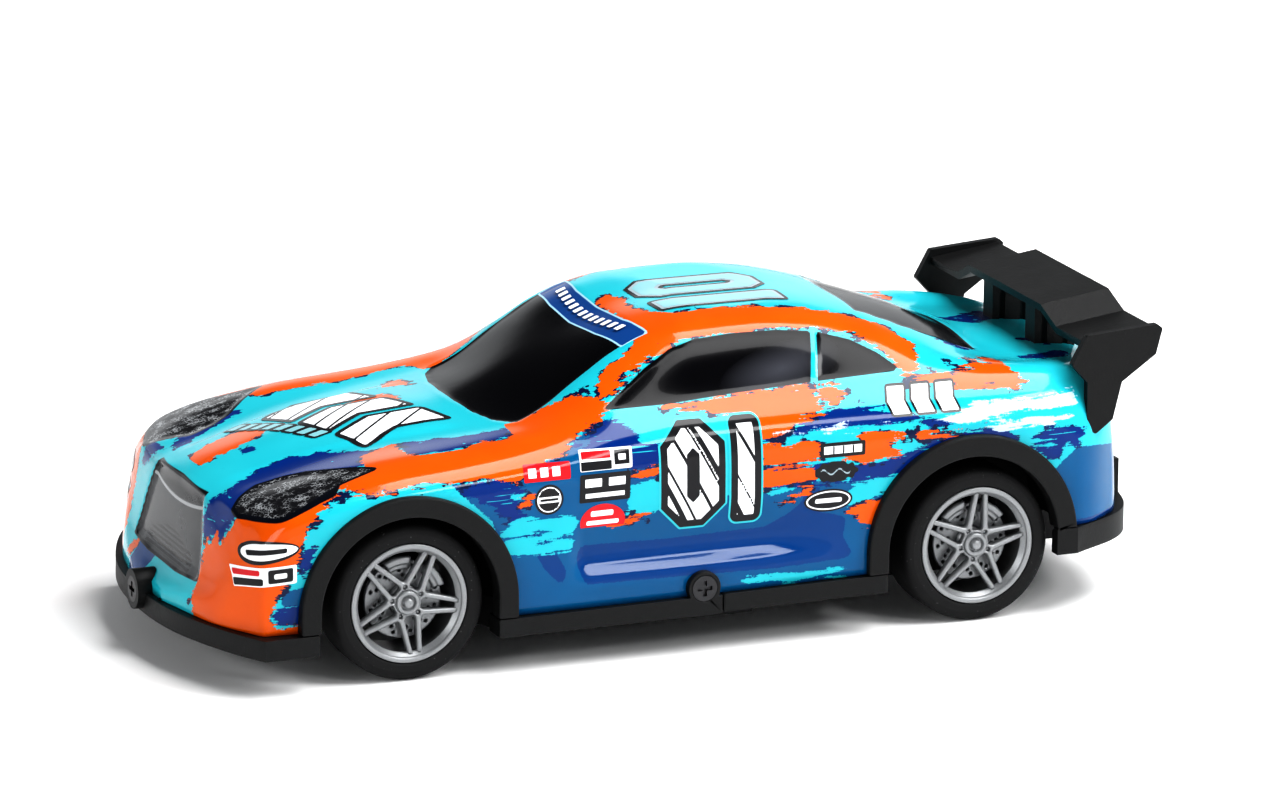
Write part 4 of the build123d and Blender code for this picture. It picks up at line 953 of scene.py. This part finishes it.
# ------------------------------------------------------------------ graphics
def ink(name, colour):
    """Printed ink under the same gloss as the film, with a faint drift in its density."""
    s = Shader(name)
    lighter = tuple(min(1, c * 1.06 + 0.003) for c in colour)
    return s.set(color=s.drift(400, 3, colour, lighter), rough=0.2, normal=s.bump(s.noise(170, 2), 0.05, 0.5),
                 coat=0.35, coat_rough=0.03, specular=0.1)


INKS = [ink("ink_white", (0.80, 0.81, 0.83)), ink("ink_black", (0.012, 0.012, 0.014)),
        ink("ink_cyan", (0.04, 0.46, 0.52)), ink("ink_red", (0.55, 0.012, 0.02)),
        ink("ink_grey", (0.30, 0.38, 0.42)), ink("ink_ice", (0.22, 0.46, 0.50))]
WHITE, BLACK, CYAN, RED, GREY, ICE = range(6)


def box_field(u, v, cu, cv, w, h, r=0.3):
    du, dv = np.abs(u - cu) - w / 2 + r, np.abs(v - cv) - h / 2 + r
    return r - np.hypot(np.maximum(du, 0), np.maximum(dv, 0)) - np.minimum(np.maximum(du, dv), 0)


def ellipse_field(u, v, cu, cv, w, h):
    return (1 - np.hypot((u - cu) / (w / 2), (v - cv) / (h / 2))) * min(w, h) / 2


def cut_box(u, v, cu, cv, w, h, cut):
    """A box with its four corners cut off at 45 degrees."""
    field = box_field(u, v, cu, cv, w, h, 0.2)
    diagonal = (w / 2 + h / 2 - cut - np.abs(u - cu) - np.abs(v - cv)) * 0.7071
    return np.minimum(field, diagonal)


def on_flank(y, z, lift, flip):
    """Points a lift above one flank, along its normal; flip is 1 on the left and -1 on the right."""
    reach = 0.3
    slope_y = (surface.side_x(y + reach, z) - surface.side_x(y - reach, z)) / (2 * reach)
    slope_z = (surface.side_x(y, z + reach) - surface.side_x(y, z - reach)) / (2 * reach)
    lift = lift / np.sqrt(1 + slope_y ** 2 + slope_z ** 2)
    return np.stack([flip * (surface.side_x(y, z) + lift), y - slope_y * lift, z - slope_z * lift]).T


def side_chart(y, z, flip):
    """Chart of a flank around (y, z)."""
    return lambda u, v, lift: on_flank(y + flip * u, z + v, lift, flip)


def corner_chart(y, z, flip, tilt):
    """Chart of a front corner around (y, z), which measures u along the body's plan line."""
    run = np.linspace(NOSE_Y + 1.2, -74, 160)
    line = surface.side_x(run, np.full(len(run), z))
    arc = np.concatenate([[0], np.cumsum(np.hypot(np.diff(run), np.diff(line)))])
    start = np.interp(y, run, arc)

    def chart(u, v, lift):
        return on_flank(np.interp(start + flip * u, arc, run), z + v + flip * tilt * u, lift, flip)

    return chart


def top_chart(y, x, turn=0):
    """Chart of the bonnet or the roof around (y, x), turned by some degrees."""
    c, s = math.cos(math.radians(turn)), math.sin(math.radians(turn))

    def chart(u, v, lift):
        there_y, there_x = y + u * s + v * c, x + u * c - v * s
        return np.stack([there_x, there_y, surface.top_z(there_y, there_x) + lift + 0.05]).T

    return chart


def lay_on(chart, layers, size, cell, lean=0.0):
    """Print layers of (field, ink number) on a chart of the body, each a hair above the last."""
    high = (size[0] / 2 + 2, size[1] / 2 + 2)
    low = (-high[0], -high[1])
    patches = []
    for level, (field, number) in enumerate(layers):
        u, v, quads = outline_mesh(lambda a, b: field(a - lean * b, b), low, high, cell)
        patches.append((chart(u, v, 0.05 + 0.03 * level), quads, number))
    return patches


def graphics(name, patches):
    """One object from printed patches, with a material slot for each ink."""
    obj = new_object(name, *merged([patch[:2] for patch in patches]))
    for material in INKS:
        obj.data.materials.append(material)
    numbers = [number for _, quads, number in patches for _ in quads]
    obj.data.polygons.foreach_set("material_index", numbers)
    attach(obj, "root")
    return obj


def bar(cu, cv, w, h, colour, r=0.3):
    """A bar as a layer: its field and its ink."""
    return lambda u, v: box_field(u, v, cu, cv, w, h, r), colour


def oval(cu, cv, w, h, colour):
    """An ellipse as a layer: its field and its ink."""
    return lambda u, v: ellipse_field(u, v, cu, cv, w, h), colour


def grown(field, by, colour):
    """A shape with its outline moved out, as a layer."""
    return lambda u, v: field(u, v) + by, colour


def block_digits(u, v, zero, hole, one):
    """A 0 with cut corners and its hole, and a plain 1, side by side."""
    digit = np.minimum(cut_box(u, v, *zero), -cut_box(u, v, *hole))
    return np.maximum(digit, box_field(u, v, *one, 0.2))


def race_number(u, v):
    return block_digits(u, v, (-3.8, 0, 10.4, 17.6, 3.4), (-3.8, 0, 2.6, 10.4, 1.2), (7.0, 0, 3.4, 17.6))


def roof_number(u, v):
    return block_digits(u, v, (-4.6, 0, 11.6, 25.0, 3.0), (-4.6, 0, 3.2, 15.4, 1.2), (7.4, 0, 5.6, 25.0))


def slashed_number(u, v):
    """The race number with slanting strokes cut through its digits."""
    across = (u + 0.55 * v) * 0.876
    strokes = ((-8.9, 0.5), (-7.0, 0.22), (-3.2, 0.3), (0.2, 0.2), (1.2, 0.5), (4.2, 0.16), (8.6, 0.3))
    cuts = union([width - np.abs(across - middle) for middle, width in strokes], u.shape)
    return np.minimum(race_number(u, v), -cuts)


def chevrons(u, v, pitch, width, height):
    """Three arrow-shaped blocks that point to the nose."""
    lean = u - 0.35 * np.abs(v)
    return union([box_field(lean, v, pitch * k, 0, width, height, 0.15) for k in (-1, 0, 1)], u.shape)


def rear_chevrons(u, v):
    return chevrons(u, v, 5.0, 3.4, 4.6)


def bonnet_chevrons(u, v):
    return chevrons(u, v, 11.0, 7.6, 18.0)


def cut_chevrons(u, v):
    """The bonnet's chevrons with thin slanting lines cut through them."""
    across = (u + 0.5 * v) * 0.894
    lines = union([0.25 - np.abs(across - middle) for middle in (-13.6, -8.6, -1.4, 1.8, 9.2, 13.8)], u.shape)
    return np.minimum(bonnet_chevrons(u, v), -lines)


def ticks(u, v):
    return union([box_field(u, v, -10.5 + 3.0 * k, 0, 1.9, 3.0, 0.2) for k in range(8)], u.shape)


def dashes(u, v):
    """A row of dashes that bends with the top of the windscreen."""
    bent = v - 0.006 * u * u
    return union([box_field(u, bent, -15.6 + 2.6 * k, 0, 1.5, 1.9, 0.2) for k in range(13)], u.shape)


def ring(u, v):
    return np.minimum(2.45 - np.hypot(u, v), np.hypot(u, v) - 2.2)


def dome(u, v):
    return np.minimum(ellipse_field(u, v + 1.0, 0, 0, 9.2, 7.0), v + 2.0)


def blob(u, v):
    return ellipse_field(u, v, 0, 0, 8.6, 4.0) + 0.25 * np.sin(3.1 * u) * np.cos(2.3 * v)


def scribble(u, v):
    return 0.16 - np.abs(v - 0.5 * np.sin(1.9 * u)) - np.maximum(0, np.abs(u) - 3.0)


def side_graphics(name, flip):
    """The race number and the plain marks of one flank and its front corner."""
    patches = []

    def mark(y, z, size, cell, layers, lean=0.0):
        patches.extend(lay_on(side_chart(y, z, flip), layers, size, cell, lean))

    def plate(y, z, size, base, *bars):
        mark(y, z, size, 0.24, [bar(0, 0, *size, base)] + [bar(*facts, 0.05) for facts in bars], 0.04)

    def corner_mark(y, z, size, tilt, layers):
        patches.extend(lay_on(corner_chart(y, z, flip, tilt), layers, size, 0.3))

    mark(2.8, 34.6, (21, 18), 0.3,
         [grown(race_number, 1.75, CYAN), grown(race_number, 1.35, BLACK), (slashed_number, WHITE)])
    plate(-30.6, 38.0, (9.4, 3.2), RED, *((u, 0, 1.6, 1.7, WHITE) for u in (-3.0, -0.6, 1.8)))
    plate(-18.6, 39.3, (10.6, 3.9), WHITE, (-2.0, -1.0, 6.2, 1.6, BLACK), (-2.0, 0.9, 5.8, 1.3, RED),
          (3.2, 0.2, 3.0, 2.6, BLACK), (3.2, 0.2, 1.5, 1.1, WHITE))
    plate(-19.0, 34.1, (10.3, 5.4), BLACK, (-2.4, 1.0, 3.4, 1.6, WHITE), (2.4, 1.0, 3.4, 1.6, WHITE),
          (0, -1.4, 8.0, 0.9, WHITE))
    plate(29.6, 36.9, (9.2, 2.8), BLACK, (0, 0, 7.8, 1.5, WHITE),
          *((u, 0, 0.3, 1.5, BLACK) for u in (-1.9, 0.1, 2.1)))
    mark(-30.4, 32.8, (6, 6), 0.22,
         [oval(0, 0, 5.8, 5.8, BLACK), (ring, WHITE), bar(0, 0, 4.6, 1.2, WHITE),
          bar(0, 0, 3.8, 0.45, BLACK)])
    mark(-19.4, 28.4, (9.4, 5.4), 0.24,
         [(dome, RED), bar(-0.2, 0.7, 4.6, 1.1, WHITE), bar(0, -1.1, 6.6, 0.9, WHITE)])
    mark(26.6, 27.2, (10, 4.6), 0.22,
         [oval(0, 0, 9.8, 4.4, BLACK), oval(0, 0, 9.0, 3.7, WHITE), oval(0, 0, 8.3, 3.1, BLACK),
          bar(0, 0, 5.4, 0.9, WHITE)], 0.1)
    mark(28.0, 32.7, (9, 4.4), 0.22, [(blob, BLACK), (scribble, GREY)])
    corner_mark(-86.6, 27.0, (15, 4.4), 0.15,
                [oval(0, 0, 15.0, 4.2, BLACK), oval(0.5, 0.1, 13.4, 3.0, WHITE),
                 bar(0.5, 0.1, 9.4, 0.9, BLACK)])
    corner_mark(-87.2, 22.4, (15.2, 3.8), 0.12,
                [bar(0, 0, 15.2, 3.6, WHITE), bar(-3.0, -0.9, 8.6, 1.3, BLACK), bar(-3.2, 0.8, 7.6, 1.0, RED),
                 bar(4.6, 0, 4.6, 2.6, BLACK), bar(4.6, 0, 2.4, 1.0, WHITE)])
    mark(46.4, 44.7, (17, 5.6), 0.24, [grown(rear_chevrons, 0.45, BLACK), (rear_chevrons, WHITE)])
    return graphics(name, patches)


def top_graphics():
    """The number on the roof, the blocks and ticks on the bonnet and the dashes over the windscreen."""
    roof = [grown(roof_number, 1.0, BLACK), grown(roof_number, 0.2, GREY), grown(roof_number, -0.5, ICE)]
    patches = lay_on(top_chart(15.2, 4.0), roof, (21, 26), 0.35)
    blocks = [grown(bonnet_chevrons, 1.1, BLACK), (cut_chevrons, WHITE)]
    patches += lay_on(top_chart(-56.0, -2.0, 20), blocks, (36, 20), 0.35, 0.1)
    patches += lay_on(top_chart(-69.5, -2.0, 28), [grown(ticks, 0.6, BLACK), (ticks, ICE)], (26, 4), 0.3, 0.3)
    patches += lay_on(top_chart(-8.1, 0.0), [(dashes, WHITE)], (36, 5), 0.25)
    return graphics("top_graphics", patches)


side_graphics("left_side_graphics", 1)
side_graphics("right_side_graphics", -1)
top_graphics()

# -------------------------------------------- CAD nodes that keep their shape
FINISHES = {
    "black_plastic": plastic,
    "black_screw": metal("black_oxide_screw", (0.07, 0.07, 0.073), 0.38),
    "chassis_plastic": moulded_plastic("chassis_plastic", (0.016, 0.016, 0.017), 0.55),
    "battery_wrap": moulded_plastic("battery_wrap", (0.01, 0.09, 0.30), 0.28, 0.01, 0.1),
    "white_plastic": moulded_plastic("white_nylon", (0.72, 0.71, 0.67), 0.42, 0.02, 0.06),
    "circuit_board": moulded_plastic("circuit_board", (0.01, 0.12, 0.045), 0.35, 0.05, 0.3),
    "brass_metal": metal("brass", (0.72, 0.50, 0.20)),
    "motor_steel": metal("motor_can_steel", (0.50, 0.50, 0.50), 0.35),
    "steel": metal("bright_steel", (0.55, 0.55, 0.56)),
    "silver_plastic": silver,
    "tyre_rubber": rubber,
    "printed_shell": film,
}
ROUNDED = {"rear_wing": 0.35, "front_bumper_strip": 0.35, "rear_bumper_strip": 0.35, "body_screws": 0.12}
for part in frame["record"]["subparts"]:
    obj = frame["nodes"][part["node"]]
    obj.data.materials.clear()
    obj.data.materials.append(FINISHES[part["material_slot"]])
    if "arch" in part["node"] or "skirt" in part["node"]:
        soften(obj, 0.4)
    elif part["node"] in ROUNDED:
        soften(obj, ROUNDED[part["node"]])

# ------------------------------------------------------- camera, floor, light
AZIMUTH, ELEVATION, ROLL = math.radians(68.163), math.radians(14.73), math.radians(0.44)
camera = bpy.data.objects.new("camera", bpy.data.cameras.new("camera"))
bpy.context.scene.collection.objects.link(camera)
camera.data.lens = 230.07
camera.data.sensor_width = 36
camera.data.clip_end = 20
back = Vector((math.cos(ELEVATION) * math.sin(AZIMUTH), -math.cos(ELEVATION) * math.cos(AZIMUTH),
               math.sin(ELEVATION)))
right = Vector((math.cos(AZIMUTH), math.sin(AZIMUTH), 0))
up = back.cross(right)
turned_right = right * math.cos(ROLL) + up * math.sin(ROLL)
turned_up = up * math.cos(ROLL) - right * math.sin(ROLL)
for column, axis in enumerate((turned_right, turned_up, back)):
    for row in range(3):
        camera.matrix_world[row][column] = axis[row]
camera.matrix_world.translation = (1.407371, -0.561016, 0.437799)
bpy.context.scene.camera = camera

FLOOR = 6000
floor = new_object("floor", [(x * FLOOR, y * FLOOR, 0) for x, y in ((-1, -1), (1, -1), (1, 1), (-1, 1))],
                   [(0, 1, 2, 3)])
pale = Shader("pale_floor")
floor_colour = pale.drift(3, 2, (0.90, 0.90, 0.90), (0.93, 0.93, 0.93))
floor.data.materials.append(pale.set(color=floor_colour, rough=0.6, specular=0.2))


def softbox(name, place, size, power, aim=(0, 0, 0.03)):
    """A rectangular lamp at a place in metres, turned to its aim."""
    light = bpy.data.lights.new(name, "AREA")
    light.shape = "RECTANGLE"
    light.size, light.size_y = size
    light.energy = power
    obj = bpy.data.objects.new(name, light)
    obj.location = place
    obj.rotation_euler = (Vector(aim) - Vector(place)).to_track_quat("-Z", "Y").to_euler()
    bpy.context.scene.collection.objects.link(obj)


softbox("overhead_softbox", (0.25, 0.62, 1.35), (1.1, 0.9), 27, (0.25, 0.62, 0))
softbox("window_softbox", (1.0, 1.35, 1.35), (0.5, 0.45), 13)
softbox("low_side_softbox", (1.9, 0.95, 1.3), (0.7, 0.35), 10)
softbox("front_softbox", (0.9, -1.9, 0.9), (0.9, 0.9), 11)
world = bpy.data.worlds.new("studio")
world.use_nodes = True
tree = world.node_tree
height = tree.nodes.new("ShaderNodeSeparateXYZ")
tree.links.new(tree.nodes.new("ShaderNodeTexCoord").outputs["Generated"], height.inputs[0])
band = tree.nodes.new("ShaderNodeMapRange")
band.interpolation_type = "SMOOTHSTEP"
for socket, value in (("From Min", 0.27), ("From Max", 0.42), ("To Min", 0.85), ("To Max", 0.10)):
    band.inputs[socket].default_value = value
tree.links.new(height.outputs["Z"], band.inputs["Value"])
tree.links.new(band.outputs[0], tree.nodes["Background"].inputs["Strength"])
tree.nodes["Background"].inputs["Color"].default_value = (0.96, 0.98, 1.0, 1)
bpy.context.scene.world = world
bpy.context.scene.view_settings.view_transform = "Standard"
bpy.context.scene.view_settings.look = "High Contrast"
